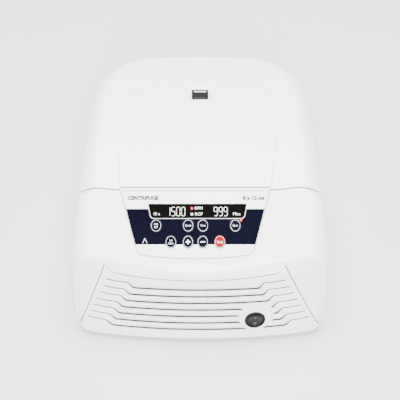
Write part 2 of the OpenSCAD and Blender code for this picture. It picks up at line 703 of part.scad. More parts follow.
solenoid_front_y = -116;
solenoid_back_y = -83;
solenoid_hw = 12;
module lock_solenoid() {
    color("goldenrod") difference() {
        union() {
            box([-solenoid_hw, solenoid_front_y, catch_z - 9], [solenoid_hw, solenoid_back_y, catch_z + 9]);
            box([-solenoid_hw, split_y - 3, catch_z], [solenoid_hw, split_y, deck_low]);
        }
        translate([0, 0, catch_z]) rotate([90, 0, 0]) cylinder(r = bolt_r + run_gap, h = 200);
    }
}
module lock_bolt() {
    color("silver") translate([0, striker_y - 3, catch_z]) rotate([90, 0, 0]) cylinder(r = bolt_r, h = 34);
}
module lid_striker() {
    color("silver") difference() {
        union() {
            box([-8, striker_y, catch_z - 8], [8, striker_y + striker_t, liner_low + liner_t]);
            box([-10, striker_y, liner_low + liner_t], [10, striker_y + 9, liner_low + liner_t + 2]);
        }
        translate([0, 0, catch_z]) rotate([90, 0, 0]) cylinder(r = bolt_r + 1, h = 200);
    }
}
module lid_sensor() {
    color("black") box([24, -82, deck_low - 6], [40, -72, deck_low]);
}
module lid_magnet() {
    color("dimgray") translate([32, -74, liner_low + liner_t]) cylinder(r = 4, h = 3);
}

module lid_shell() {
    color("white") difference() {
        intersection() {
            casing_solid(0, rim_z);
            box([-200, split_y + 1.2, lid_low], [200, 250, 250]);
        }
        difference() {
            casing_solid(wall, rim_z);
            // Front and screw posts inside the lid
            box([-200, split_y - 10, 0], [200, split_y + 1.2 + wall, 250]);
            for (p = lid_posts) hull() {
                translate([p[0], p[1], liner_low + liner_t]) cylinder(r = post_r, h = 6, $fn = 16);
                translate([p[0], p[1], top_h + 4]) cylinder(r = post_r + 2, h = 8, $fn = 16);
            }
            for (x = [-60, 60]) hull() {
                translate([x, -70, top_h - 14]) cylinder(r = 1, h = 20, $fn = 8);
                translate([x, 140, top_h - 10]) cylinder(r = 1, h = 20, $fn = 8);
            }
        }
        for (p = lid_posts) translate([p[0], p[1], 0]) cylinder(r = screw_r, h = liner_low + 14, $fn = 12);
        translate([-view_hw - play, view_y - view_hw - play, lid_low]) cube([2 * (view_hw + play), 2 * (view_hw + play), top_h]);
    }
}
module lid_liner() {
    color("gainsboro") difference() {
        union() {
            translate([0, 0, liner_low]) linear_extrude(liner_t) intersection() {
                lid_plan(liner_edge, split_y + 6);
                translate([-200, -200]) square([400, 200 + liner_back_y]);
            }
            at_spindle() translate([0, 0, liner_low]) cylinder(r1 = bowl_r - 1, r2 = bowl_r - 9, h = dome_z - liner_low);
        }
        at_spindle() translate([0, 0, liner_low - liner_t]) cylinder(r1 = bowl_r - 3, r2 = bowl_r - 11, h = dome_z - liner_low);
        translate([0, view_y, 100]) cylinder(r = 12, h = 100);
        for (p = lid_posts) translate([p[0], p[1], 100]) cylinder(r = screw_r, h = 100);
        box([-8 - play, striker_y - play, 100], [8 + play, striker_y + striker_t + play, liner_low + liner_t + 1]);
    }
}
view_top = crown_line(view_y + view_hw);
module viewport_lens() {
    color("darkgray") translate([-view_hw, view_y - view_hw, view_top - view_t]) cube([2 * view_hw, 2 * view_hw, view_t]);
}
module lid_screws() {
    color("silver") for (p = lid_posts) translate([p[0], p[1], liner_low]) {
        translate([0, 0, -2]) cylinder(r = 3.2, h = 2);
        translate([0, 0, -eps]) cylinder(r = screw_r - 0.1, h = 12);
    }
}
module base_screws() {
    color("silver") for (p = base_posts) translate([p[0], p[1], foot_h]) {
        translate([0, 0, -1.8]) cylinder(r = 3.2, h = 1.8);
        translate([0, 0, -eps]) cylinder(r = screw_r - 0.1, h = 16);
    }
}

module ribbon_cable() {
    top_y = -128;
    top_z = 104;
    color("silver") translate([-20, 0, 0]) rotate([90, 0, 90]) linear_extrude(30)
        polygon([[top_y, top_z + 8], [top_y + 1, top_z + 8], [top_y + 1, 60], [-149, 40], [-149, board_face + 4],
            [-138, board_face + 1.2], [-138, board_face], [-150.5, board_face], [-150.5, 40.5], [top_y, 61]]);
}

module key(i) {
    place = KEYS[i];
    color(i == 7 ? "crimson" : "midnightblue") on_panel(place[0], place[1], key_low) linear_extrude(key_top - key_low - 0.9)
        key_outline(0);
}
module key_program() { key(0); }
module key_speed() { key(1); }
module key_time() { key(2); }
module key_start() { key(3); }
module key_lid() { key(4); }
module key_plus() { key(5); }
module key_minus() { key(6); }
module key_stop() { key(7); }

housing();
base_plate();
feet();
front_grille();
panel_overlay();
display_lens();
display_board();
led_displays();
tact_switches();
start_led();
power_switch_body();
chamber_bowl();
bowl_gasket();
guard_ring();
motor_housing();
motor_stator();
motor_flange();
motor_dampers();
damper_posts();
spindle_bearings();
spindle_boot();
drive_board();
board_standoffs();
heat_sink();
capacitors();
fan_frame();
hinge_brackets();
hinge_pins();
lock_solenoid();
rear_plate();
mains_inlet();
imbalance_sensor();
lid_sensor();
base_screws();
flange_screws();
ribbon_cable();
rotor_body();
tube_sleeves();
rotor_nut();
spindle();
motor_magnet();
lid_shell();
lid_liner();
viewport_lens();
lid_striker();
lid_hinge_arms();
lid_magnet();
lid_screws();
lock_bolt();
fan_impeller();
power_rocker();
fuse_drawer();
key_program();
key_speed();
key_time();
key_start();
key_lid();
key_plus();
key_minus();
key_stop();
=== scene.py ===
"""Looks of a bench-top laboratory centrifuge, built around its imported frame.

Lengths are in millimetres until a mesh is made. The front faces -Y, and the casing's surface is one formula
that the housing, the lid, the grille and the panel all share."""
import json
import math

import bmesh
import bpy
import numpy as np
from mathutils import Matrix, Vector


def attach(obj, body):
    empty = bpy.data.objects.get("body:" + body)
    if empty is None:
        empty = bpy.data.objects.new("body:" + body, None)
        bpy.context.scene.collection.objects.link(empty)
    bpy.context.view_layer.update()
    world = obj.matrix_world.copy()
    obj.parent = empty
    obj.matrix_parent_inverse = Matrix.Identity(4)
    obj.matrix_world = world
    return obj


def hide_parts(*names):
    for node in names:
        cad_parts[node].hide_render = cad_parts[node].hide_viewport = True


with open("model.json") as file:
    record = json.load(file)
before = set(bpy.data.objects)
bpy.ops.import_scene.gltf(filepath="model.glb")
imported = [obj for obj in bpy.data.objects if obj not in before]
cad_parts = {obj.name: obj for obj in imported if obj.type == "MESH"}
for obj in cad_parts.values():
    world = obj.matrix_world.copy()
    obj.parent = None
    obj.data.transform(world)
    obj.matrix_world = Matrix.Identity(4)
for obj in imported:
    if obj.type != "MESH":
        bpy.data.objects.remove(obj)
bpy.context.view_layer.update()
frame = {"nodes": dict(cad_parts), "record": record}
MM = 0.001
NODES = frame["nodes"]


# ---- the casing's surface ---------------------------------------------------------------------
HALF_W = 157.0          # half the widest width
FRONT_LEN = 171.0       # widest line of the front
FOOT_LEN = 182.0        # foot of the front
FOOT_HALF_W = 152.0
BACK_LEN = 182.0
TOP_H = 186.3
RIM_Z = 8.0
WAIST_FRONT_Z = 98.2    # height of the widest line at the front and at the sides
WAIST_Z = 144.0
SHOULDER_W = 30.0
BACK_SHOULDER = 20.0
SPLIT_Z = 149.0         # lid joint
SPLIT_Y = -84.0
LID_LOW = 151.0
TILT = math.radians(35)
BACK_POWER = 4.0
FRONT_POWER = 9.0
FOOT_POWER = 24.0
BEND_R = 26.0
BOW = 0.00062
TAPER_W = 7.0
CROWN = 0.00067
BACK_CROWN = 0.0002
CROWN_Y = 65.0
STEP_H = 4.0
STEP_W = 1.6
CHANNEL_W = 40.0
PANEL_TOP_HW = 88.0
PANEL_LOW_HW = 69.5
PANEL_LEN = 76.0
PANEL_X = -5.6          # the panel's middle lies a little to the left
VIEW_Y = 82.4           # middle of the viewing window
BEND_Y = -FRONT_LEN + BEND_R
TANGENT_Y = BEND_Y - BEND_R * math.sin(TILT)
TANGENT_Z = WAIST_FRONT_Z + BEND_R * math.cos(TILT)


def ease(t):
    """Smooth step from 0 to 1: u * u * (3 - 2u), with u held between 0 and 1."""
    u = np.clip(t, 0.0, 1.0)
    return u * u * (3.0 - 2.0 * u)


def mix(a, b, t):
    return a + (b - a) * t


def mid_line(y):
    """Height of the middle line: an arc over the grille, the panel's straight slope, then the lid's crown."""
    arc = WAIST_FRONT_Z + np.sqrt(np.maximum(0.0, BEND_R**2 - (y - BEND_Y) ** 2))
    slope = TANGENT_Z + (y - TANGENT_Y) * math.tan(TILT)
    crown = TOP_H - np.where(y < CROWN_Y, CROWN, BACK_CROWN) * (y - CROWN_Y) ** 2
    return np.where(y < TANGENT_Y, arc, np.minimum(slope, crown))


def waist(y):
    return mix(WAIST_FRONT_Z, WAIST_Z, ease((y + 150) / 90))


def taper(y):
    return 1 - TAPER_W / HALF_W * ease((y + 150) / 80)


def raised_hw(y):
    """Half width of the raised middle, on the lid and down beside the control panel."""
    narrowing = (PANEL_TOP_HW - PANEL_LOW_HW) / (PANEL_LEN * math.cos(TILT))
    return np.where(y > SPLIT_Y, PANEL_TOP_HW + 9.1 - 0.00094 * (y - 10) ** 2,
                    PANEL_TOP_HW + 1.3 + (y - SPLIT_Y) * narrowing)


def mid_x(y):
    """Middle of the raised part: over the panel's middle in front, over the window's behind."""
    return PANEL_X * np.clip((VIEW_Y - y) / (VIEW_Y - SPLIT_Y), 0, 1)


def channel(x, y):
    """Depth of the hollow beside the raised middle: a short step, then a long fade outwards."""
    step = np.where(y > SPLIT_Y, STEP_H * (1 - ease((y - 40) / 80)), STEP_H * ease((y + 150) / 66))
    d = np.abs(x - mid_x(y)) - raised_hw(y)
    return np.where(d <= 0, 0.0, step * ease(d / STEP_W) * (1 - ease(d / CHANNEL_W)))


def bowed(x, y):
    """The front face bows outwards: y grows with the square of the way out from its flat middle."""
    flat = (raised_hw(y) - PANEL_X) * ease((y + 166) / 14)
    d = np.maximum(0.0, np.abs(x) - flat)
    return y + BOW * ease((SPLIT_Y - y) / 85) * d * d


def plan(cos_a, sin_a, depth, inset):
    """Outline point in a direction: a superellipse, squarer at the foot of the front than at its waist."""
    power = np.where(sin_a < 0, mix(FRONT_POWER, FOOT_POWER, depth), BACK_POWER)
    r = (np.abs(cos_a) ** power + np.abs(sin_a) ** power) ** (-1 / power)
    length = np.where(sin_a < 0, mix(FRONT_LEN, FOOT_LEN, depth), BACK_LEN) - inset
    y = r * sin_a * length
    return r * cos_a * (mix(HALF_W, FOOT_HALF_W, depth) - inset) * taper(y), y


def out_share(x, y, row_hw, inset):
    """How far out on the shoulder a point lies: 0 where it starts to fall, 1 at the casing's widest line."""
    reach = (HALF_W - inset) * taper(y)
    across = (np.abs(x) / reach) ** BACK_POWER
    along = (np.maximum(0.0, y) / (BACK_LEN - inset)) ** BACK_POWER
    width = across * SHOULDER_W / reach + along * BACK_SHOULDER / (BACK_LEN - inset)
    width = width / np.maximum(across + along, 1e-3)
    back = 1 - (1 - (across + along) ** (1 / BACK_POWER)) / np.maximum(width, 1e-3)
    return np.where(y < 0, (np.abs(x) - (row_hw - SHOULDER_W)) / SHOULDER_W, back)


def skin(x, y, row_hw, inset):
    """Height over a point: the middle line less the hollows, falling to the waist on a quarter ellipse."""
    q = np.clip(out_share(x, y, row_hw, inset), 0.0, 1.0)
    low = waist(y)
    return low + (mid_line(y) - inset - channel(x, y) - low) * np.sqrt(1 - q * q)


def x_for_share(share, y, row_hw, inset):
    """The x where out_share reaches a value, found by halving."""
    low = np.zeros_like(share)
    high = np.broadcast_to(row_hw, share.shape).copy()
    for _ in range(40):
        half = (low + high) / 2
        over = out_share(half, y, row_hw, inset) > share
        high = np.where(over, half, high)
        low = np.where(over, low, half)
    return (low + high) / 2


# ---- meshes -----------------------------------------------------------------------------------
def grid_faces(rows, cols, first=0, closed=False):
    """Quads over a grid of rows by cols points, numbered row by row."""
    i, j = np.meshgrid(np.arange(rows - 1), np.arange(cols if closed else cols - 1), indexing="ij")
    i, j = i.ravel(), j.ravel()
    k = (j + 1) % cols
    return np.stack([i * cols + j, i * cols + k, (i + 1) * cols + k, (i + 1) * cols + j], 1) + first


def make(name, parts, materials, smooth_deg=35, weld=1e-5, normals=False):
    """One object from (points in mm, faces, material number) parts. Doubles are merged."""
    mesh = bpy.data.meshes.new(name)
    points, faces, slots, n = [], [], [], 0
    for pts, fcs, slot in parts:
        pts = np.asarray(pts, float).reshape(-1, 3)
        points.append(pts)
        faces += [tuple(int(v) + n for v in f) for f in fcs]
        slots += [slot] * len(fcs)
        n += len(pts)
    mesh.from_pydata((np.concatenate(points) * MM).tolist(), [], faces)
    mesh.polygons.foreach_set("material_index", slots)
    for m in materials:
        mesh.materials.append(m)
    bm = bmesh.new()
    bm.from_mesh(mesh)
    bmesh.ops.remove_doubles(bm, verts=bm.verts, dist=weld)
    if normals:
        bmesh.ops.recalc_face_normals(bm, faces=bm.faces)
    bm.to_mesh(mesh)
    bm.free()
    obj = bpy.data.objects.new(name, mesh)
    bpy.context.scene.collection.objects.link(obj)
    shade(obj, smooth_deg)
    return obj


def shade(obj, degrees):
    mesh = obj.data
    mesh.polygons.foreach_set("use_smooth", [True] * len(mesh.polygons))
    mesh.set_sharp_from_angle(angle=math.radians(degrees))


def baked(obj, degrees=35):
    """Applies the piece's modifiers to its mesh."""
    graph = bpy.context.evaluated_depsgraph_get()
    mesh = bpy.data.meshes.new_from_object(obj.evaluated_get(graph))
    obj.modifiers.clear()
    obj.data = mesh
    shade(obj, degrees)
    return obj


def thicken(obj, thickness, edge=0.7, segments=3):
    """Gives an open surface a wall on its inner side, with rounded rims where edge isn't 0."""
    wall = obj.modifiers.new("wall", "SOLIDIFY")
    wall.thickness = thickness * MM
    wall.offset = -1
    wall.use_even_offset = False
    if not edge:
        return baked(obj)
    rim = obj.modifiers.new("rim", "BEVEL")
    rim.width = edge * MM
    rim.segments = segments
    rim.limit_method = "ANGLE"
    rim.angle_limit = math.radians(60)
    rim.use_clamp_overlap = True
    return baked(obj)


def cut(obj, cutter, degrees=35, solver="MANIFOLD"):
    """Takes a closed cutter out of a closed piece, and deletes the cutter."""
    step = obj.modifiers.new("cut", "BOOLEAN")
    step.operation = "DIFFERENCE"
    step.object = cutter
    step.solver = solver
    baked(obj, degrees)
    bpy.data.objects.remove(cutter)
    return obj


def prism(outline, low, high, place=None):
    """Closed prism over a plan outline, from low to high, moved by place if given."""
    outline = np.asarray(outline, float)
    n = len(outline)
    ring = np.concatenate([np.column_stack([outline, np.full(n, z)]) for z in (low, high)])
    faces = [list(range(n))[::-1], [n + i for i in range(n)]]
    faces += [[i, (i + 1) % n, n + (i + 1) % n, n + i] for i in range(n)]
    return (place(ring) if place else ring), faces, 0


def lathe(profile, turns=64, place=None, slot=0):
    """Surface turned about Z from (radius, height) points. Radii of 0 close it."""
    profile = np.asarray(profile, float)
    a = np.linspace(0, 2 * np.pi, turns, endpoint=False)
    pts = np.stack([
        profile[:, None, 0] * np.cos(a),
        profile[:, None, 0] * np.sin(a),
        np.broadcast_to(profile[:, None, 1], (len(profile), turns)),
    ], -1).reshape(-1, 3)
    return (place(pts) if place else pts), grid_faces(len(profile), turns, closed=True), slot


def turn(points, angle, axis):
    """Turns points by the right-hand rule about a row axis, 0 to 2."""
    c, s = math.cos(angle), math.sin(angle)
    a, b = [(1, 2), (2, 0), (0, 1)][axis]
    out = np.array(points, float)
    out[..., a] = points[..., a] * c - points[..., b] * s
    out[..., b] = points[..., a] * s + points[..., b] * c
    return out


PANEL_LOW_Y = SPLIT_Y - 4.6 - PANEL_LEN * math.cos(TILT)


def on_panel(points):
    """Panel places (x, up the slope, out of the face) to the row frame."""
    return turn(np.asarray(points, float), TILT, 0) + [0, PANEL_LOW_Y, float(mid_line(np.array(PANEL_LOW_Y)))]


FACE_LEAN = math.atan((FOOT_LEN - FRONT_LEN) / (WAIST_FRONT_Z - RIM_Z))


def face_y(x, z):
    return -FOOT_LEN + (z - RIM_Z) * math.tan(FACE_LEAN) + BOW * np.asarray(x) ** 2


def on_face(x, z):
    """Returns a function that puts points on the front face at (x, z), their +Z pointing out of it."""
    def place(points):
        p = turn(np.asarray(points, float), math.atan(2 * BOW * x), 1)
        p = turn(p, math.pi / 2 - FACE_LEAN, 0)
        return p + [x, float(face_y(x, z)), z]
    return place


# ---- materials --------------------------------------------------------------------------------
def linear(hex_colour):
    """sRGB hex to linear RGBA."""
    srgb = [int(hex_colour[i:i + 2], 16) / 255 for i in (1, 3, 5)]
    return [c / 12.92 if c <= 0.04045 else ((c + 0.055) / 1.055) ** 2.4 for c in srgb] + [1.0]


def node(tree, kind, links=(), **settings):
    """Adds a node, sets its sockets and properties, and links (socket name, source socket) pairs into it."""
    n = tree.nodes.new(kind)
    for key, value in settings.items():
        name = key.replace("_", " ")
        if name in n.inputs:
            n.inputs[name].default_value = value
        else:
            setattr(n, key, value)
    for name, source in links:
        tree.links.new(source, n.inputs[name])
    return n


def material(name, colour, roughness, grain=0.0, grain_mm=0.4, tint=0.03, stretch=(1, 1, 1), **shader):
    """A finish with a little unevenness in colour, roughness and relief. grain is the relief's strength,
    grain_mm its size, tint how far the colour wanders, and stretch draws the grain out, as brushing does."""
    m = bpy.data.materials.new(name)
    m.use_nodes = True
    t = m.node_tree
    base = t.nodes["Principled BSDF"]
    place = node(t, "ShaderNodeTexCoord").outputs["Object"]
    place = node(t, "ShaderNodeMapping", [("Vector", place)], Scale=stretch).outputs["Vector"]
    cloud = node(t, "ShaderNodeTexNoise", [("Vector", place)], Scale=1000 / 45, Detail=3.0)
    shades = node(t, "ShaderNodeMix", data_type="RGBA")
    rgb = linear(colour)
    for socket in shades.inputs:
        if socket.type == "RGBA":
            socket.default_value = [c * (1 - tint) for c in rgb[:3]] + [1]
    first = [s for s in shades.inputs if s.type == "RGBA"][0]
    first.default_value = [min(1.0, c * (1 + tint)) for c in rgb[:3]] + [1]
    t.links.new(cloud.outputs["Fac"], shades.inputs["Factor"])
    colour_out = [s for s in shades.outputs if s.type == "RGBA"][0]
    t.links.new(colour_out, base.inputs["Base Color"])
    fine = node(t, "ShaderNodeTexNoise", [("Vector", place)], Scale=1000 / grain_mm, Detail=2.0)
    rough = node(t, "ShaderNodeMapRange", [("Value", cloud.outputs["Fac"])], To_Min=roughness - 0.04,
                 To_Max=roughness + 0.05)
    t.links.new(rough.outputs["Result"], base.inputs["Roughness"])
    if grain:
        bump = node(t, "ShaderNodeBump", [("Height", fine.outputs["Fac"])], Strength=grain, Distance=0.00005)
        t.links.new(bump.outputs["Normal"], base.inputs["Normal"])
    for key, value in shader.items():
        base.inputs[key.replace("_", " ")].default_value = value
    return m


# Satin ABS mouldings: bright and even, with a faint spark texture that softens the highlights
SATIN = {"IOR": 1.52, "Coat_Weight": 0.15, "Coat_Roughness": 0.25}
ABS_WHITE = material("satin_white_abs", "#f4f4f3", 0.34, 0.25, 0.7, 0.012, **SATIN)
ABS_LID = material("satin_white_abs_lid", "#f5f5f4", 0.32, 0.25, 0.7, 0.012, **SATIN)
# The same moulding in the grille's scoops, with painted shade that greys it towards the bottom of each
ABS_SCOOP_PAINTED_SHADE = material("satin_white_abs_painted_shade", "#f4f4f3", 0.34, 0.25, 0.7, 0.012, **SATIN)
tree = ABS_SCOOP_PAINTED_SHADE.node_tree
base_colour = tree.nodes["Principled BSDF"].inputs["Base Color"]
scoop_shade = node(tree, "ShaderNodeAttribute", attribute_name="scoop_shade")
scoop_shade_mix = node(tree, "ShaderNodeMixRGB",
             [("Fac", scoop_shade.outputs["Fac"]), ("Color1", base_colour.links[0].from_socket)],
             Color2=linear("#5c5d5f"))
tree.links.new(scoop_shade_mix.outputs["Color"], base_colour)
# Unpolished grey ABS: duller than the casing, with a coarser spark texture
ABS_GREY = material("moulded_grey_abs", "#cfd1d2", 0.45, 0.4, 0.7, 0.03, IOR=1.52)
# Printed polyester film: flat and even, with a fine velvet texture and almost no shine over the dark ink
FILM_WHITE = material("polyester_film_white", "#f3f3f4", 0.5, 0.3, 0.35, 0.01, IOR=1.57,
                      Specular_IOR_Level=0.3)
FILM_NAVY = material("polyester_film_navy", "#010110", 0.38, 0.2, 0.35, 0.1, IOR=1.57,
                     Specular_IOR_Level=0.03)
# Screen-printed inks: matt, with crisp edges
INK_WHITE = material("white_screen_ink", "#e9eaec", 0.55, 0.2, 0.3, 0.02)
INK_GREY = material("grey_screen_ink", "#5a5c66", 0.55, 0.2, 0.3, 0.04)
INK_DARK = material("dark_screen_ink", "#020206", 0.6, 0.2, 0.3, 0.04, Specular_IOR_Level=0.05)
# Embossed keys in the same film: a soft roll of light over each dome
KEY_NAVY = material("embossed_key_navy", "#010112", 0.38, 0.2, 0.35, 0.1, IOR=1.57, Specular_IOR_Level=0.03)
KEY_RED = material("embossed_key_red", "#860104", 0.5, 0.3, 0.35, 0.04, IOR=1.57, Specular_IOR_Level=0.06)
# Tinted acrylic window: near black and smooth, so that only the lit segments show
LENS_BLACK = material("tinted_acrylic", "#070706", 0.2, 0.0, 0.4, 0.05, IOR=1.49, Specular_IOR_Level=0.05)
# Lit LEDs behind it: pale segments and red lamps with a slight glow, and the modules' dark red epoxy
DIGIT = material("lit_led_segments", "#dfe3dc", 0.4, 0.0, 0.4, 0.02, Emission_Color=linear("#eef2ea"),
                 Emission_Strength=0.35)
LAMP_RED = material("lit_red_led", "#ef3b30", 0.25, 0.0, 0.4, 0.02, Emission_Color=linear("#ff3020"),
                    Emission_Strength=0.4)
LED_BODY = material("led_epoxy_dark_red", "#3a0d0c", 0.3, 0.0, 0.4, 0.05)
# Switch: a rough glass-filled frame round a smoother rocker
BLACK_PA = material("glass_filled_nylon_black", "#0c0c0d", 0.48, 0.7, 0.5, 0.08, Specular_IOR_Level=0.2)
BLACK_GLOSS = material("moulded_black_rocker", "#101012", 0.35, 0.2, 0.5, 0.05, IOR=1.52,
                       Specular_IOR_Level=0.15)
# Smoked polycarbonate pane: glossy and near black, crossed by slightly lighter grey lines
WINDOW = material("smoked_polycarbonate", "#1d1e20", 0.15, 0.0, 0.5, 0.03, IOR=1.58, Specular_IOR_Level=0.25)
WINDOW_DARK = material("window_shadow_line", "#2b2c2e", 0.4, 0.1, 0.5, 0.05)
# Painted shadow in the joints between mouldings and in the grille's slots: matt, and reads as a dark line
SHADOW_GAP = material("painted_shadow_grey", "#2a2b2c", 0.9, 0.4, 0.5, 0.05, Specular_IOR_Level=0.1)
# Brushed and turned metals: the grain is drawn out along the tool's path, so highlights streak
STEEL = material("brushed_stainless", "#c4c6c8", 0.3, 0.5, 0.5, 0.03, stretch=(1, 1, 8), Metallic=1.0)
ALUMINIUM = material("turned_aluminium", "#c9ccce", 0.33, 0.5, 0.4, 0.04, stretch=(1, 1, 6), Metallic=1.0)
# Wound enamelled wire: warm, and broken up by its turns
COPPER = material("enamelled_copper", "#a8572f", 0.35, 0.8, 0.8, 0.08, Metallic=0.9)
# Sintered and ground magnet: dull dark metal
MAGNET = material("sintered_magnet", "#4a4b4e", 0.5, 0.5, 0.5, 0.05, Metallic=0.8)
# Plated contacts: small warm highlights
BRASS = material("plated_brass", "#c6a35a", 0.32, 0.3, 0.6, 0.05, Metallic=1.0)
# Moulded nitrile: dark and matt
RUBBER = material("moulded_nitrile_rubber", "#202021", 0.72, 0.8, 0.6, 0.08)
# Solder mask over the copper: smooth green with a slight mottle
BOARD = material("solder_masked_board", "#0f5a35", 0.35, 0.5, 0.8, 0.08)
# Powder coat on sheet steel: orange-peel relief under a soft sheen
PAINTED = material("powder_coated_steel", "#c9cbcc", 0.5, 0.8, 0.9, 0.03)
# Flat PVC cable: covered in fine ribs
RIBBON = material("pvc_ribbon_cable", "#b9b9b4", 0.5, 0.6, 1.3, 0.05, stretch=(1, 0.02, 0.02))
# Moulded epoxy of chips and capacitors: matt dark grey
PACKAGE = material("moulded_epoxy_package", "#2b2c30", 0.5, 0.5, 0.5, 0.08)

BY_SLOT = {
    "casing": ABS_WHITE, "lid": ABS_LID, "grille": ABS_WHITE, "overlay": FILM_WHITE, "key_dark": KEY_NAVY,
    "key_red": KEY_RED, "display": LENS_BLACK, "led_module": LED_BODY, "led_red": LAMP_RED,
    "switch_black": BLACK_PA, "board": BOARD, "component": PACKAGE, "window": WINDOW, "steel": STEEL,
    "plate": PAINTED, "aluminium": ALUMINIUM, "copper": COPPER, "magnet": MAGNET, "brass": BRASS,
    "rubber": RUBBER, "liner": ABS_GREY, "cable": RIBBON,
}
for entry in frame["record"]["subparts"]:
    cad = NODES[entry["node"]]
    cad.data.materials.clear()
    cad.data.materials.append(BY_SLOT[entry["material_slot"]])


def settle(obj, body, slot, *replaced):
    """The piece moves with a body and stands for CAD nodes. slot is not used."""
    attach(obj, body)
    if replaced:
        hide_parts(*replaced)
    return obj


# ---- casing -----------------------------------------------------------------------------------
def unit(direction_deg, power):
    """Points of the unit superellipse by direction, as (across, along)."""
    a = np.radians(direction_deg)
    r = (np.abs(np.cos(a)) ** power + np.abs(np.sin(a)) ** power) ** (-1 / power)
    return r * np.cos(a), r * np.sin(a)


def level_share(y, level, inset=0.0):
    """The share of the shoulder at which the surface has fallen to a level."""
    low = waist(y)
    fall = np.clip((level - low) / np.maximum(mid_line(y) - inset - low, 1e-6), 0, 1)
    return np.sqrt(1 - fall * fall)


def sheet_x(x_edge, y, sign, outer=46, raised=14, step=7):
    """Columns of half a row, from its edge to the middle: close together on the shoulder and at the step."""
    hw = np.minimum(raised_hw(y) + sign * mid_x(y), 0.7 * x_edge)
    foot = np.minimum(hw + STEP_W, hw + 0.05 * x_edge)
    t = np.linspace(0, 1, outer)
    across = [x_edge - (x_edge - foot) * t**2]
    across.append(mix(foot, hw, np.linspace(0, 1, step)[1:]))
    across.append(mix(hw, 0 * hw, np.linspace(0, 1, raised)[1:]))
    return np.concatenate(across, axis=1)


def sheet(y, row_hw, x_edge):
    """Top surface rows from edge to edge. All arguments are columns of one value per row."""
    full = np.concatenate([-sheet_x(x_edge, y, -1), sheet_x(x_edge, y, 1)[:, -2::-1]], axis=1)
    z = skin(full, y, row_hw, 0.0)
    return np.stack([full, bowed(full, y), z], -1)


def side(across, along, level, walls=26, shoulder=8):
    """One side, one row a direction: the wall up from the rim, then the shoulder's foot up to a level."""
    across, along = across[:, None], along[:, None]
    row_hw, y0 = plan(across, along, 0.0, 0.0)
    depth = np.linspace(1, 0, walls)[None, :-1]
    wx, wy = plan(across, along, depth, 0.0)
    wz = mix(waist(y0), RIM_Z, depth)
    share = level_share(y0, level)
    shares = np.sin(mix(np.pi / 2, np.arcsin(share), np.linspace(0, 1, shoulder)[None, :]))
    sy = np.broadcast_to(y0, shares.shape)
    sx = x_for_share(shares, sy, np.broadcast_to(row_hw, shares.shape), 0.0)
    sx[:, 0] = row_hw[:, 0]
    sz = skin(sx, sy, row_hw, 0.0)
    x = np.concatenate([wx, sx], 1)
    y = np.concatenate([bowed(wx, wy), bowed(sx, sy)], 1)
    return np.stack([x, y, np.concatenate([wz, sz], 1)], -1), row_hw, y0, sx[:, -1:]


LEFT = np.array([-1.0, 1.0, 1.0])


def cowl_directions():
    """Front rows: a fan at the nose, then even steps back to the lid."""
    across = np.linspace(0, 0.93, 42)
    along = -((1 - across**FRONT_POWER) ** (1 / FRONT_POWER))
    y = np.linspace(along[-1] * FRONT_LEN, SPLIT_Y, 56)[1:]
    more = -y / FRONT_LEN
    return (np.concatenate([across, (1 - more**FRONT_POWER) ** (1 / FRONT_POWER)]),
            np.concatenate([along, -more]))


def housing_surface():
    """Front cowl as full hoops from rim to rim, and the sides and back as one strip from rim to lid joint."""
    across, along = cowl_directions()
    y = (along * FRONT_LEN)[:, None]
    full = waist(np.array(SPLIT_Y)), mid_line(np.array(SPLIT_Y))
    level = waist(y) + (SPLIT_Z - full[0]) * (mid_line(y) - waist(y)) / (full[1] - full[0])
    half, row_hw, y0, x_edge = side(across, along, level)
    top = sheet(y0, row_hw, x_edge)
    hoops = np.concatenate([half * LEFT, top[:, 1:-1], half[:, ::-1]], axis=1)
    parts = [(hoops, grid_faces(*hoops.shape[:2]), 0)]
    ys = np.linspace(SPLIT_Y, 0, 22)
    a1 = (1 - (-ys / FRONT_LEN) ** FRONT_POWER) ** (1 / FRONT_POWER), ys / FRONT_LEN
    yb = np.linspace(0, 120, 24)[1:] / BACK_LEN
    a2 = (1 - yb**BACK_POWER) ** (1 / BACK_POWER), yb
    turn_from = math.degrees(math.atan2(a2[1][-1], a2[0][-1]))
    a3 = unit(np.linspace(turn_from, 90, 76)[1:], BACK_POWER)
    across = np.concatenate([a1[0], a2[0], a3[0]])
    along = np.concatenate([a1[1], a2[1], a3[1]])
    half = side(across, along, SPLIT_Z)[0]
    strip = np.concatenate([half * LEFT, half[::-1]])
    parts.append((strip, grid_faces(*strip.shape[:2]), 0))
    return parts, strip[:, -1], x_edge[-1, 0]


def ellipse(rx, ry, n=40):
    a = np.linspace(0, 2 * np.pi, n, endpoint=False)
    return np.column_stack([rx * np.cos(a), ry * np.sin(a)])


def rounded(width, height, radius, n=7):
    """Rectangle with round corners, centred, anticlockwise."""
    corners = []
    for sx, sy, start in ((1, -1, -90), (1, 1, 0), (-1, 1, 90), (-1, -1, 180)):
        a = np.radians(np.linspace(start, start + 90, n))
        centre = [sx * (width / 2 - radius), sy * (height / 2 - radius)]
        corners.append(np.column_stack([np.cos(a), np.sin(a)]) * radius + centre)
    return np.concatenate(corners)


def front_prism(outline, near, far):
    """Closed prism from an outline in x and z, running along y."""
    def place(p):
        return np.column_stack([p[:, 0], -p[:, 2], p[:, 1]])
    return prism(outline, -far, -near, place)


def side_prism(outline, near, far, sign):
    """Closed prism from an outline in y and z, running out through one side."""
    def place(p):
        return np.column_stack([sign * p[:, 2], p[:, 0], p[:, 1]])
    return prism(outline, near, far, place)


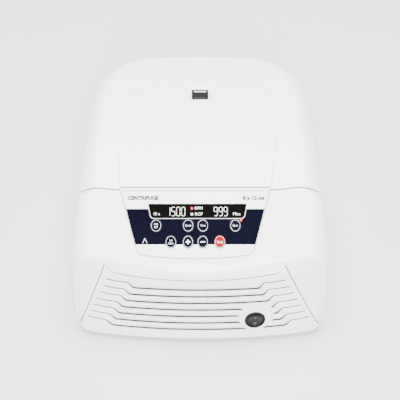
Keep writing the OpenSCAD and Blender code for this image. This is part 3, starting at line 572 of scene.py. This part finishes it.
GRILLE_SEAM = 0.9
GRILLE_LOW_Z = 14.0
GRILLE_TOP_Z = 102.0
GRILLE_LOW_HW = 148.0
GRILLE_TOP_HW = 107.0
GRILLE_CORNER_Z = 115.0
GRILLE_BOW = 7.5        # how far the upper edge rises before its corners
GRILLE_TOP_X = -6.0     # the upper corners lie a little to the left, as the panel does
GRILLE_LOW_X = -1.0
SWITCH_X = 67.0
SWITCH_Z = 38.0
KEY_W = 13.0
KEY_OVAL = 1.18
ROW_1 = 35.4
ROW_2 = 16.0
KEYS = {
    "key_program": (-52, ROW_1), "key_speed": (-14, ROW_1), "key_time": (3.4, ROW_1),
    "key_start": (41.8, ROW_1), "key_lid": (-34.3, ROW_2), "key_plus": (-14.2, ROW_2),
    "key_minus": (3.2, ROW_2), "key_stop": (23.4, ROW_2),
}


def grille_x(s, z):
    """Place across the grille, from -1 at its left side to 1 at its right, at a height."""
    t = (z - GRILLE_LOW_Z) / (GRILLE_CORNER_Z - GRILLE_LOW_Z)
    return mix(GRILLE_LOW_X, GRILLE_TOP_X, t) + s * mix(GRILLE_LOW_HW, GRILLE_TOP_HW, t)


def grille_top(s):
    """Upper edge: it rises from the middle with the square of the way out, and turns up into the corners."""
    corner_rise = GRILLE_CORNER_Z - GRILLE_TOP_Z - GRILLE_BOW
    return GRILLE_TOP_Z + GRILLE_BOW * s**2 + corner_rise * ease((np.abs(s) - 0.86) / 0.16)


def grille_outline(grow):
    """The grille's outline seen from the front, moved outwards."""
    s = np.linspace(1, -1, 61)
    scale = 1 + grow / 125
    top = np.column_stack([grille_x(s * scale, grille_top(s)), grille_top(s) + 1.5 * grow])
    low = [[grille_x(k, GRILLE_LOW_Z - grow), GRILLE_LOW_Z - grow] for k in (-scale, scale)]
    return np.concatenate([top, low])[::-1]


def key_cutter(grow=0.3):
    """Eight oval posts through the control panel."""
    parts = []
    for x, along in KEYS.values():
        outline = ellipse(KEY_W / 2 + grow, KEY_W / 2 * KEY_OVAL + grow) + [x, along]
        parts.append(prism(outline, -9, 4, on_panel))
    return make("key_cutter", parts, [])


surface, joint_edge, seat_hw = housing_surface()
housing = make("housing_shell", surface, [ABS_WHITE])
thicken(housing, 3.0, 0)
cut(housing, make("cutter", [front_prism(grille_outline(GRILLE_SEAM), -230, -137)], [], normals=True))
cut(housing, key_cutter())
HINGE_X = 46.0
POCKET_HW = 18.5
slots = [front_prism(rounded(156, 66, 3) + [0, 52], 150, 220)]
for sx in (-1, 1):
    slots.append(front_prism(rounded(2 * POCKET_HW, 20, 1.5) + [sx * HINGE_X, 148], 165.7, 200))
cut(housing, make("cutter", slots, [], normals=True))
air = []
for sx in (-1, 1):
    for i in range(7):
        air.append(side_prism(rounded(3.2, 33, 1.6) + [-30 + 14 * i, 55], 120, 170, sx))
cut(housing, make("cutter", air, [], normals=True))
settle(housing, "base", "casing", "housing")

# Deck round the chamber, and the wall that the lid's front edge stands against
DECK_R = 106.0
SPINDLE_Y = 45.0


def deck():
    """Plate between the round chamber opening and the casing's outline, each point on one spoke."""
    edge = joint_edge * [0.972, 0.985, 1.0]
    edge = edge[np.linalg.norm(np.diff(edge, axis=0, prepend=edge[:1] - 1), axis=1) > 0.3]
    front = np.linspace(edge[-1][:2], edge[0][:2], 40)[1:-1]
    outline = np.concatenate([edge[:, :2], front])
    spoke = np.arctan2(outline[:, 1] - SPINDLE_Y, outline[:, 0])
    hole = np.column_stack([DECK_R * np.cos(spoke), SPINDLE_Y + DECK_R * np.sin(spoke)])
    rings = [(hole, SPLIT_Z - 0.9), (mix(hole, outline, 0.02), SPLIT_Z - 0.4), (outline, SPLIT_Z - 0.4),
             (outline, SPLIT_Z - 3), (hole, SPLIT_Z - 3), (hole, SPLIT_Z - 0.9)]
    pts = np.stack([np.column_stack([ring, np.full(len(ring), z)]) for ring, z in rings])
    return pts, grid_faces(len(rings), len(outline), closed=True), 0


def bar(corners):
    """Closed bar from the lines that its four corners follow."""
    pts = np.stack(corners, 1)
    n = len(pts)
    ends = [[3, 2, 1, 0], [4 * n - 4, 4 * n - 3, 4 * n - 2, 4 * n - 1]]
    return pts, grid_faces(n, 4, closed=True).tolist() + ends


def seat_bar(y_near, y_far, foot, drop, slot):
    """Bar along the cowl's rear edge, its top a drop under the skin. foot is the height of its underside, or
    the way down to it if negative."""
    x = np.linspace(-seat_hw + 4, seat_hw - 4, 120)
    top = skin(x, np.full_like(x, SPLIT_Y), 156.0, 0.0) - drop
    low = top + foot if foot < 0 else np.full_like(x, foot)
    corners = [np.column_stack([x, np.full_like(x, y), z]) for y, z in (
        (y_near, low), (y_far, low), (y_far, top), (y_near, top))]
    return bar(corners) + (slot,)


# The deck has no slot for the lid's striker
deck_piece = make("chamber_deck", [deck()], [ABS_WHITE], normals=True)
settle(deck_piece, "base", "casing")
# A wall under the cowl's edge, with a dark strip in the joint between the cowl and the lid: painted shadow in
# the gap
seat_bars = [seat_bar(SPLIT_Y - 2.6, SPLIT_Y - 0.4, SPLIT_Z - 3, 1.2, 0),
             seat_bar(SPLIT_Y - 0.4, SPLIT_Y + 1.8, -4, 1.7, 1)]
seat = make("lid_seat", seat_bars, [ABS_WHITE, SHADOW_GAP], normals=True)
settle(seat, "base", "casing")


# ---- lid --------------------------------------------------------------------------------------
VIEW_HW = 9.8
LID_FRONT = SPLIT_Y + 2.6
BACK_ROWS_Y = 120.0     # behind this the lid's rows close up towards its rear edge


def lid_surface():
    """Rows from the front edge back to where the surface reaches the lid's lower edge."""
    back = BACK_LEN - BACK_SHOULDER * (1 - float(level_share(np.array(175.0), LID_LOW)))
    t = np.linspace(0, 1, 64)[1:]
    closing = BACK_ROWS_Y + (back - BACK_ROWS_Y) * np.sin(t * np.pi / 2)
    y = np.concatenate([np.linspace(LID_FRONT, BACK_ROWS_Y, 130), closing])[:, None]
    s = np.where(y < 0, -y / FRONT_LEN, y / BACK_LEN)
    power = np.where(y < 0, FRONT_POWER, BACK_POWER)
    row_hw = HALF_W * taper(y) * (1 - s**power) ** (1 / power)
    x_edge = x_for_share(level_share(y, LID_LOW), y, row_hw, 0.0)
    x_edge[-1] = 0
    return sheet(y, row_hw, x_edge)


def window_cutters():
    """A shallow flared surround and the window's own opening through it."""
    top = float(mid_line(np.array(VIEW_Y)))
    rings = []
    for grow, z in ((7.4, 1.2), (6.6, -0.2), (1.2, -2.6), (1.2, -3.2)):
        outline = rounded(2 * (VIEW_HW + grow), 2 * (VIEW_HW + grow * 0.8), 1.2 + grow * 0.25)
        rings.append(np.column_stack([outline + [0, VIEW_Y], np.full(len(outline), top + z)]))
    n = len(rings[0])
    faces = [list(range(n)), [3 * n + i for i in range(n)][::-1]] + grid_faces(4, n, closed=True).tolist()
    flare = (np.concatenate(rings), faces, 0)
    hole = prism(rounded(2 * VIEW_HW + 0.5, 2 * VIEW_HW + 0.5, 1.2) + [0, VIEW_Y], 160, 200)
    return flare, hole


rows = lid_surface()
lid = make("lid_skin", [(rows, grid_faces(*rows.shape[:2]), 0)], [ABS_LID])
thicken(lid, 3.0, 0.8)
for part in window_cutters():
    cut(lid, make("cutter", [part], [], normals=True))
settle(lid, "lid", "lid", "lid_shell")


def window():
    """Pane with a bevelled rim, crossed by two grey bars and a white one between them."""
    top = float(mid_line(np.array(VIEW_Y))) - 2.9
    rings = []
    for shrink, z in ((2.6, -4.0), (0.3, -4.0), (0.3, -0.5), (0.8, 0.0)):
        outline = rounded(2 * (VIEW_HW - shrink), 2 * (VIEW_HW - shrink), 1.0) + [0, VIEW_Y]
        rings.append(np.column_stack([outline, np.full(len(outline), top + z)]))
    n = len(rings[0])
    faces = grid_faces(4, n, closed=True).tolist() + [[3 * n + i for i in range(n)], list(range(n))[::-1]]
    pane = (np.concatenate(rings), faces, 0)
    bars = []
    for slot, height, dy in ((1, 1.4, -7.4), (2, 1.8, 6.4), (1, 0.8, 8.0)):
        bar_outline = rounded(2 * VIEW_HW - 4, height, 0.3) + [0, VIEW_Y + dy]
        bars.append(prism(bar_outline, top + 0.02, top + 0.12)[:2] + (slot,))
    return [pane] + bars


pane = make("viewing_window", window(), [WINDOW, WINDOW_DARK, ABS_LID], normals=True)
settle(pane, "lid", "window", "viewport_lens")


# ---- front grille -----------------------------------------------------------------------------
LOUVRES = 7
LOUVRE_LOW_Z = 20.3
LOUVRE_PITCH = 10.8
# Across one louvre, from its lower lip upwards: height, and depth into the face. A proud lip, a ledge,
# the slot at its back with painted shade, then a scoop whose depth runs out with the square of the height.
LOUVRE = np.array([[-2.0, 0], [-1.6, -0.1], [-1.0, -0.4], [-0.45, -0.25], [-0.15, 0.5], [-0.1, 2.1],
                   [0.0, 4.3], [1.1, 4.4], [1.15, 2.8], [2.0, 2.15], [3.0, 1.5], [4.1, 0.91],
                   [5.6, 0.34], [8.3, 0]])
# The same across the narrow groove at its ends
GROOVE = np.array([[-2.0, 0], [-1.5, 0], [-1.0, 0], [-0.75, 0.1], [-0.6, 0.3], [-0.5, 0.6], [-0.45, 2.8],
                   [0.4, 2.9], [0.6, 1.2], [1.2, 0.35], [2.4, 0.05], [4.2, 0], [6.3, 0], [8.3, 0]])
SLOT_FIRST, SLOT_LAST = 5, 7     # the strips of the profile that line the slot, painted dark as its shade


def wall_y(x, z):
    """The front, seen as y over x and z: below the waist a superellipse in plan that is squarer towards its
    foot, above it the cowl, whose row is found by halving."""
    depth = np.clip((WAIST_FRONT_Z - z) / (WAIST_FRONT_Z - RIM_Z), 0, 1)
    power = mix(FRONT_POWER, FOOT_POWER, depth)
    share = (np.abs(x) / mix(HALF_W, FOOT_HALF_W, depth)) ** power
    y = -mix(FRONT_LEN, FOOT_LEN, depth) * (1 - np.minimum(share, 0.999)) ** (1 / power)
    near, far = y.copy(), np.full_like(y, -140.0)
    for _ in range(30):
        half = (near + far) / 2
        row_hw = HALF_W * (1 - np.minimum((-half / FRONT_LEN) ** FRONT_POWER, 1)) ** (1 / FRONT_POWER)
        high = skin(x, half, np.maximum(row_hw, 0.1), 0.0) > z
        far = np.where(high, half, far)
        near = np.where(high, near, half)
    y = np.where(z > WAIST_FRONT_Z, near, y)
    return bowed(x, y)


def grille_surface():
    """Louvres as one profile carried along jogged lines: a narrow groove at each end, a step down by a whole
    louvre, then the full scoop, which fades out round the power switch."""
    s = np.linspace(-1, 1, 281)[None, :]
    levels = LOUVRE_LOW_Z + LOUVRE_PITCH * np.arange(LOUVRES)
    z0 = np.repeat(levels, len(LOUVRE))[:, None]
    x = grille_x(s, z0 + 6)
    rise = (z0 - LOUVRE_LOW_Z) / (LOUVRE_PITCH * (LOUVRES - 1))
    margin = mix(2.5, 5.5, rise)
    inward = np.minimum(x - grille_x(-1, z0 + 6), grille_x(1, z0 + 6) - x) - margin
    off_switch = ease((np.hypot(x - SWITCH_X, z0 - SWITCH_Z - 2) - 19.5) / 4)
    full = ease((inward - mix(22.5, 27.5, rise)) / mix(15.0, 11.5, rise))
    size = full * off_switch
    groove = ease(inward / 5) * off_switch * (1 - full)
    jog = 10.2 * (1 - full) + 1.8 * np.clip(1 - inward / 16, 0, 1.2)
    dz = LOUVRE[:, 0][None, :].repeat(LOUVRES, 0).reshape(-1, 1)
    end_dz = GROOVE[:, 0][None, :].repeat(LOUVRES, 0).reshape(-1, 1)
    deep = LOUVRE[:, 1][None, :].repeat(LOUVRES, 0).reshape(-1, 1)
    end_deep = GROOVE[:, 1][None, :].repeat(LOUVRES, 0).reshape(-1, 1)
    z = z0 + jog + mix(end_dz, dz, full)
    depth = deep * size + end_deep * groove
    plain = np.zeros_like(s)
    top = grille_top(s)
    low_t = np.linspace(0, 1, 5)[:-1, None]
    high_t = np.linspace(0, 1, 6)[1:, None]
    z = np.concatenate([mix(GRILLE_LOW_Z + plain, z[:1], low_t), z, mix(z[-1:], top, high_t)])
    depth = np.concatenate([low_t * 0 + plain, depth, high_t * 0 + plain])
    x = grille_x(s, z)
    y = wall_y(x, z) + depth * math.cos(FACE_LEAN)
    rows = np.stack([x, y, z], -1)
    # The slots' linings get painted shade, dark wherever they have any depth, and the scoops the material
    # whose painted shade grows with depth
    faces = grid_faces(*rows.shape[:2])
    row, column = faces[:, 0] // s.shape[1] - 4, faces[:, 0] % s.shape[1]
    strip = row % len(LOUVRE)
    cut_in = (size + groove)[np.clip(row, 0, len(size) - 1), column] > 0.45
    inside = cut_in & (row >= 0) & (row < len(size)) & (strip >= SLOT_FIRST) & (strip <= SLOT_LAST)
    scoop = (row >= 0) & (row < len(size)) & (strip > SLOT_LAST) & (strip < len(LOUVRE) - 1)
    return (rows, faces[~inside & ~scoop], 0), (rows, faces[inside], 1), (rows, faces[scoop], 2)


SCOOP_SHADE_DEPTH = 2.7        # depth behind the face at which the painted shade of a scoop is darkest
SCOOP_SHADE_POWER = 1.3


def add_painted_shade(obj):
    """Stores the painted shade of each point: its depth behind the face as a share of the scoop's, to a
    power.
    """
    place = np.empty(len(obj.data.vertices) * 3)
    obj.data.vertices.foreach_get("co", place)
    x, y, z = place.reshape(-1, 3).T / MM
    share = np.clip((y - wall_y(x, z)) / SCOOP_SHADE_DEPTH, 0, 1) ** SCOOP_SHADE_POWER
    obj.data.attributes.new("scoop_shade", "FLOAT", "POINT").data.foreach_set("value", share)


grille = make("louvred_grille", grille_surface(), [ABS_WHITE, SHADOW_GAP, ABS_SCOOP_PAINTED_SHADE])
# Painted shade in the scoops, darker with depth
add_painted_shade(grille)
thicken(grille, 2.0, 0.4, 2)
switch_hole = lathe([(0, -30), (11.6, -30), (11.6, 30), (0, 30)], 64, on_face(SWITCH_X, SWITCH_Z))
cut(grille, make("cutter", [switch_hole], []))
settle(grille, "base", "grille", "front_grille")


def seam_shadow_strip():
    """Dark strip under the seam all round the grille, painted shadow in the gap: it follows the wall half a
    millimetre behind its face.
    """
    rows = []
    for grow in (-1.4, 0.4, 2.2):
        outline = grille_outline(grow)
        closing = mix(outline[[0]], outline[[-1]], np.linspace(1, 0, 41)[:-1, None])
        outline = np.concatenate([closing, outline])
        y = wall_y(outline[:, 0], outline[:, 1]) + 0.5
        rows.append(np.column_stack([outline[:, 0], y, outline[:, 1]]))
    return np.stack(rows), grid_faces(3, len(rows[0])), 0


# Painted shadow under the grille's seam
seam_shadow = make("grille_seam_painted_shadow", [seam_shadow_strip()], [SHADOW_GAP], normals=True)
thicken(seam_shadow, 0.5, 0)
settle(seam_shadow, "base", "rubber")

collar = make("switch_collar", [lathe(
    [(11.7, -1.5), (11.7, 0.5), (12.2, 0.95), (13.4, 1.0), (15.2, 0.7), (17.6, 0.15), (18.8, -0.4),
     (18.8, -1.5), (11.7, -1.5)], 96, on_face(SWITCH_X, SWITCH_Z))], [ABS_WHITE], normals=True)
settle(collar, "base", "grille")


# ---- power switch -----------------------------------------------------------------------------
SWITCH_R = 12.8
ROCKER_R = 9.7


def raised_place(out, place, tip=0.0):
    """Adds height and a tip about the local X to a placing function."""
    return lambda p: place(turn(np.asarray(p, float), tip, 0) + [0, 0, out])


bezel = make("switch_bezel", [
    lathe([(10.1, -5), (10.1, 2.2), (10.5, 2.7), (11.4, 2.9), (12.3, 2.6), (SWITCH_R, 1.9), (SWITCH_R, 1.0),
           (10.9, 1.0), (10.8, -19), (0, -19)], 96, on_face(SWITCH_X, SWITCH_Z)),
    lathe([(10.1, -5), (0, -5)], 96, on_face(SWITCH_X, SWITCH_Z))], [BLACK_PA], normals=True)
settle(bezel, "base", "switch_black", "power_switch_body")


def rocker_surface():
    """Disc whose face dips along one diameter, so that either half can be pressed."""
    r = np.array([0, 0.2, 0.4, 0.6, 0.8, 0.92, 0.98, 1.0, 1.0, 1.0, 0.6, 0])[:, None] * ROCKER_R
    a = np.linspace(0, 2 * np.pi, 72, endpoint=False)[None, :]
    x, y = r * np.cos(a), r * np.sin(a)
    fall = np.array([0, 0, 0, 0, 0, 0.05, 0.2, 0.5, 1.8, 4.0, 4.2, 4.2])[:, None]
    z = 1.6 + 1.3 * (np.abs(y) / ROCKER_R) ** 2 - fall
    return np.stack([x, y, z], -1), grid_faces(12, 72, closed=True)


ROCK = math.radians(6)
place = raised_place(0.4, on_face(SWITCH_X, SWITCH_Z), ROCK)
pts, faces = rocker_surface()
MARK_Y = 5.2
MARK_OUT = 2.35
line = prism(rounded(0.7, 3.4, 0.3) + [0, MARK_Y], 2.1, MARK_OUT, place)[:2] + (1,)
ring = lathe([(1.3, 1.9), (1.3, MARK_OUT), (1.8, MARK_OUT), (1.8, 1.9)], 28,
             lambda p: place(p - [0, MARK_Y, 0]), 1)
rocker = make("rocker", [(place(pts.reshape(-1, 3)), faces, 0), line, ring], [BLACK_GLOSS, INK_GREY],
              normals=True)
settle(rocker, "power_rocker", "switch_black", "power_rocker")


# ---- control panel ----------------------------------------------------------------------------
BAND_LOW = 12.9
BAND_TOP = 55.6
FILM_T = 0.35
CORNER_R = 9.0
LOWER_LIFT = 0.5
LOWER_DROP = 4.3


def overlay_edge(grow=0.0):
    """Right edge of the overlay from top to bottom middle, from its own middle line: a straight side, a round
    corner and a bowed edge."""
    lean = math.degrees(math.atan((PANEL_TOP_HW - PANEL_LOW_HW) / (PANEL_LEN - LOWER_LIFT)))
    a = np.radians(np.linspace(-lean, -80, 14))
    corner = np.column_stack([np.cos(a), np.sin(a)]) * (CORNER_R + grow)
    corner += [PANEL_LOW_HW - CORNER_R, LOWER_LIFT + CORNER_R]
    t = 1 - np.linspace(0, 1, 17)[1:]
    low = corner[-1, 1] - LOWER_DROP * (1 - t * t)
    return np.concatenate([[[PANEL_TOP_HW + grow, PANEL_LEN + 1.2 + grow]], corner,
                           np.column_stack([corner[-1, 0] * t, low])])


def overlay_outline(grow=0.0):
    right = overlay_edge(grow)
    return np.concatenate([right, (right * [-1, 1])[-2::-1]])[::-1] + [PANEL_X, 0]


def band(low, high, shrink=0.15, n=9):
    """Strip of the overlay between two places on the slope."""
    along = np.linspace(high, low, n)
    edge = overlay_edge()
    right = np.column_stack([np.interp(along, edge[::-1, 1], edge[::-1, 0]) - shrink, along])
    return np.concatenate([right[::-1], right * [-1, 1]]) + [PANEL_X, 0]


overlay = make("panel_film", [prism(overlay_outline(), -0.6, FILM_T, on_panel)], [FILM_WHITE], normals=True)
edge = overlay.modifiers.new("edge", "BEVEL")
edge.width = 0.15 * MM
edge.segments = 2
baked(overlay)
cut(overlay, key_cutter())
settle(overlay, "base", "overlay", "panel_overlay")
# A dark strip round the overlay: painted shadow of the groove between the film and the casing
groove = make("panel_groove_painted_shadow", [prism(overlay_outline(0.75), -0.5, 0.06, on_panel)], [SHADOW_GAP],
              normals=True)
settle(groove, "base", "overlay")
stripe = make("panel_band", [prism(band(BAND_LOW, BAND_TOP), FILM_T - 0.1, FILM_T + 0.05, on_panel)],
              [FILM_NAVY], normals=True)
cut(stripe, key_cutter())
settle(stripe, "base", "overlay")

DISPLAY_X = -3.0
DISPLAY_MID = 53.0
DISPLAY_H = 17.5


def display_outline(grow=0.0, radius=4.5):
    """Wide at the top, with square upper corners and round lower ones."""
    hw_top, hw_low, h = 58.5 + grow, 56.0 + grow, DISPLAY_H / 2 + grow
    a = np.radians(np.linspace(-4, -90, 9))
    corner = np.column_stack([np.cos(a), np.sin(a)]) * radius + [hw_low - radius, -h + radius]
    right = np.concatenate([[[hw_top, h]], corner])
    return np.concatenate([right[::-1], (right * [-1, 1])]) + [DISPLAY_X, DISPLAY_MID]


def text_part(text, height, x, along, out, slot=0, narrow=1.0, bold=0.0, align="CENTER"):
    """Lettering of a capital height, laid on the panel. bold grows each stroke, as a share of the height."""
    curve = bpy.data.curves.new("text", "FONT")
    curve.body = text
    curve.align_x = align
    curve.align_y = "CENTER"
    curve.size = height * 1.42
    curve.offset = bold * height
    curve.resolution_u = 3
    obj = bpy.data.objects.new("text", curve)
    bpy.context.scene.collection.objects.link(obj)
    bpy.context.view_layer.update()
    mesh = bpy.data.meshes.new_from_object(obj.evaluated_get(bpy.context.evaluated_depsgraph_get()))
    pts = np.zeros(len(mesh.vertices) * 3)
    mesh.vertices.foreach_get("co", pts)
    pts = pts.reshape(-1, 3) * [narrow, 1, 0] + [x, along, out]
    faces = [list(p.vertices) for p in mesh.polygons]
    bpy.data.objects.remove(obj)
    bpy.data.curves.remove(curve)
    bpy.data.meshes.remove(mesh)
    return on_panel(pts), faces, slot


# Seven segments of a digit one high: bars as (x, y, upright), and which of them each digit lights
SEGMENTS = [(0, 1, 0), (0.5, 0.75, 1), (0.5, 0.25, 1), (0, 0, 0), (-0.5, 0.25, 1), (-0.5, 0.75, 1),
            (0, 0.5, 0)]
LIT = {"0": (0, 1, 2, 3, 4, 5), "1": (1, 2), "5": (0, 2, 3, 5, 6), "9": (0, 1, 2, 3, 5, 6)}


def digit_parts(text, x, along, width, height, pitch, out, slot):
    """Lit segments as thin six-sided bars."""
    parts = []
    t = 0.058 * height
    for i, character in enumerate(text):
        for k in LIT[character]:
            sx, sy, upright = SEGMENTS[k]
            length = height * 0.5 - 0.5 * t if upright else width - 0.6 * t
            half, inner = length / 2, length / 2 - t / 2
            six = np.array([[-half, 0], [-inner, -t / 2], [inner, -t / 2], [half, 0], [inner, t / 2],
                            [-inner, t / 2]]) * [0.94, 1]
            if upright:
                six = six[:, ::-1] * [-1, 1]
            centre = [x + i * pitch + sx * width, along + (sy - 0.5) * height]
            parts.append(prism(six + centre, out - 0.1, out, on_panel)[:2] + (slot,))
    return parts


display = [prism(display_outline(0.55, 5.0), FILM_T - 0.1, FILM_T + 0.12, on_panel)[:2] + (1,),
           prism(display_outline(), FILM_T - 0.1, FILM_T + 0.2, on_panel)]
display_face = FILM_T + 0.28
display += digit_parts("1500", -37.6, DISPLAY_MID - 0.6, 4.1, 10.2, 5.9, display_face, 2)
display += digit_parts("999", 18.6, DISPLAY_MID - 0.6, 4.1, 10.2, 5.9, display_face, 2)
display.append(text_part("10 x", 3.2, -51.5, DISPLAY_MID - 3.6, display_face, 1))
display.append(text_part("RPM", 3.6, -1.5, DISPLAY_MID + 3.2, display_face, 1))
display.append(text_part("RCF", 3.6, -1.5, DISPLAY_MID - 3.8, display_face, 1))
display.append(text_part("Mins", 3.4, 43.5, DISPLAY_MID - 3.6, display_face, 1))
for dy, slot in ((3.2, 3), (-3.8, 1)):
    lit_square = rounded(2.6, 2.6, 0.4) + [-9.6, DISPLAY_MID + dy]
    display.append(prism(lit_square, FILM_T, display_face, on_panel)[:2] + (slot,))
screen = make("display_window", display, [LENS_BLACK, INK_WHITE, DIGIT, LAMP_RED], smooth_deg=30)
settle(screen, "base", "display", "display_lens")

print_z = FILM_T + 0.08
print_parts = [text_part("CENTRIFUGE", 4.4, -86, 68.5, print_z, 1, 1.0, 0.08, "LEFT"),
               text_part("8 x 15 ml", 4.4, 76, 68.5, print_z, 1, 1.05, 0.08, "RIGHT")]
# Small chevron beside the lower row of keys
for sign in (-1, 1):
    outline = rounded(0.55, 6.4, 0.2)
    arm = turn(np.column_stack([outline, 0 * outline[:, 0]]), sign * math.radians(24), 2)[:, :2]
    print_parts.append(prism(arm + [-65 + sign * 1.25, 17.5], FILM_T, print_z, on_panel)[:2] + (0,))
prints = make("panel_print", print_parts, [INK_WHITE, INK_DARK])
settle(prints, "base", "overlay")

# Each label's text, height, place on the key along the slope, and narrowing
KEY_LABELS = {
    "key_program": [("PRE", 2.2, 1.6, 0.9), ("SET", 2.2, -1.9, 0.9)],
    "key_speed": [("Speed", 2.3, 0, 0.85)],
    "key_time": [("Time", 2.4, 0, 0.9)],
    "key_start": [("Start", 2.4, 0, 0.9)],
    "key_lid": [("Lid", 2.2, 1.7, 0.9), ("Open", 2.2, -1.8, 0.85)],
    "key_stop": [("Stop", 3.0, 0, 0.9)],
}
KEY_CAP = [(0, -5), (KEY_W / 2, -5), (KEY_W / 2, 0.35), (KEY_W / 2 - 0.15, 0.55), (KEY_W / 2 - 0.6, 0.66),
           (KEY_W * 0.3, 0.78), (0, 0.84)]
KEY_RING = [(KEY_W / 2 - 1.05, 0.6), (KEY_W / 2 - 1.0, 0.76), (KEY_W / 2 - 0.74, 0.72),
            (KEY_W / 2 - 0.7, 0.5)]
for name, (kx, ky) in KEYS.items():
    def key_place(p, kx=kx, ky=ky):
        return on_panel(np.asarray(p, float) * [1, KEY_OVAL, 1] + [kx, ky, 0])
    red = name == "key_stop"
    parts = [lathe(KEY_CAP, 64, key_place), lathe(KEY_RING, 64, key_place, 1)]
    for text, height, dy, narrow in KEY_LABELS.get(name, []):
        parts.append(text_part(text, height, kx, ky + dy, 0.9, 1, narrow))
    if name in ("key_plus", "key_minus"):
        parts.append(prism(rounded(5.6, 1.3, 0.2) + [kx, ky], 0.6, 0.92, on_panel)[:2] + (1,))
    if name == "key_plus":
        parts.append(prism(rounded(1.3, 5.6, 0.2) + [kx, ky], 0.6, 0.93, on_panel)[:2] + (1,))
    piece = make(name + "_cap", parts, [KEY_RED if red else KEY_NAVY, INK_WHITE])
    settle(piece, name, "key_red" if red else "key_dark", name)

lamp = make("start_lamp", [lathe([(0, -2), (1.5, -2), (1.5, 0.5), (1.2, 0.95), (0.7, 1.2), (0, 1.3)], 32,
                                 lambda p: on_panel(p + [48.6, 42.0, 0]))], [LAMP_RED])
settle(lamp, "base", "led_red", "start_led")


# ---- stage ------------------------------------------------------------------------------------
def stage():
    """Pale floor that curves up behind, four large soft lamps and an even sky."""
    y = np.concatenate([np.linspace(-3000, 1800, 8), 1800 + 900 * np.sin(np.radians(np.arange(10, 91, 10)))])
    z = np.concatenate([np.zeros(8), 900 * (1 - np.cos(np.radians(np.arange(10, 91, 10))))])
    x = np.array([-4000.0, 4000.0])
    pts = np.stack([np.broadcast_to(x, (len(y), 2)), np.column_stack([y, y]), np.column_stack([z, z])], -1)
    card = material("matt_card", "#d4d4d4", 0.9, 0.2, 2.0, 0.01)
    floor = make("floor", [(pts, grid_faces(len(y), 2), 0)], [card])
    lamps = (("top_light", (0.0, 0.45, 2.4), 1.6, 205), ("front_light", (0.1, -1.95, 1.6), 0.9, 150),
             ("left_light", (-1.7, -0.6, 1.7), 1.2, 44), ("right_light", (1.7, -0.6, 1.5), 1.2, 34))
    for name, place, size, power in lamps:
        lamp_data = bpy.data.lights.new(name, "AREA")
        lamp_data.size = size
        lamp_data.energy = power
        light = bpy.data.objects.new(name, lamp_data)
        light.location = place
        direction = -np.array(place) + [0, 0, 0.08]
        light.rotation_euler = Vector(direction).to_track_quat("-Z", "Y").to_euler()
        bpy.context.scene.collection.objects.link(light)
    world = bpy.data.worlds.new("studio")
    world.use_nodes = True
    world.node_tree.nodes["Background"].inputs["Color"].default_value = linear("#eceef0")
    world.node_tree.nodes["Background"].inputs["Strength"].default_value = 0.3
    bpy.context.scene.world = world


def camera():
    """Looks along +Y from 44 degrees above, 1.25 m from the object's middle."""
    up = math.radians(44)
    distance = 1.25
    target = (0.0, 0.0, 0.07075)
    data = bpy.data.cameras.new("camera")
    data.sensor_width = 36
    data.lens = 84.46
    data.clip_end = 30
    view = bpy.data.objects.new("camera", data)
    view.location = (target[0], target[1] - distance * math.cos(up), target[2] + distance * math.sin(up))
    view.rotation_euler = (math.pi / 2 - up, 0, 0)
    bpy.context.scene.collection.objects.link(view)
    bpy.context.scene.camera = view


stage()
camera()
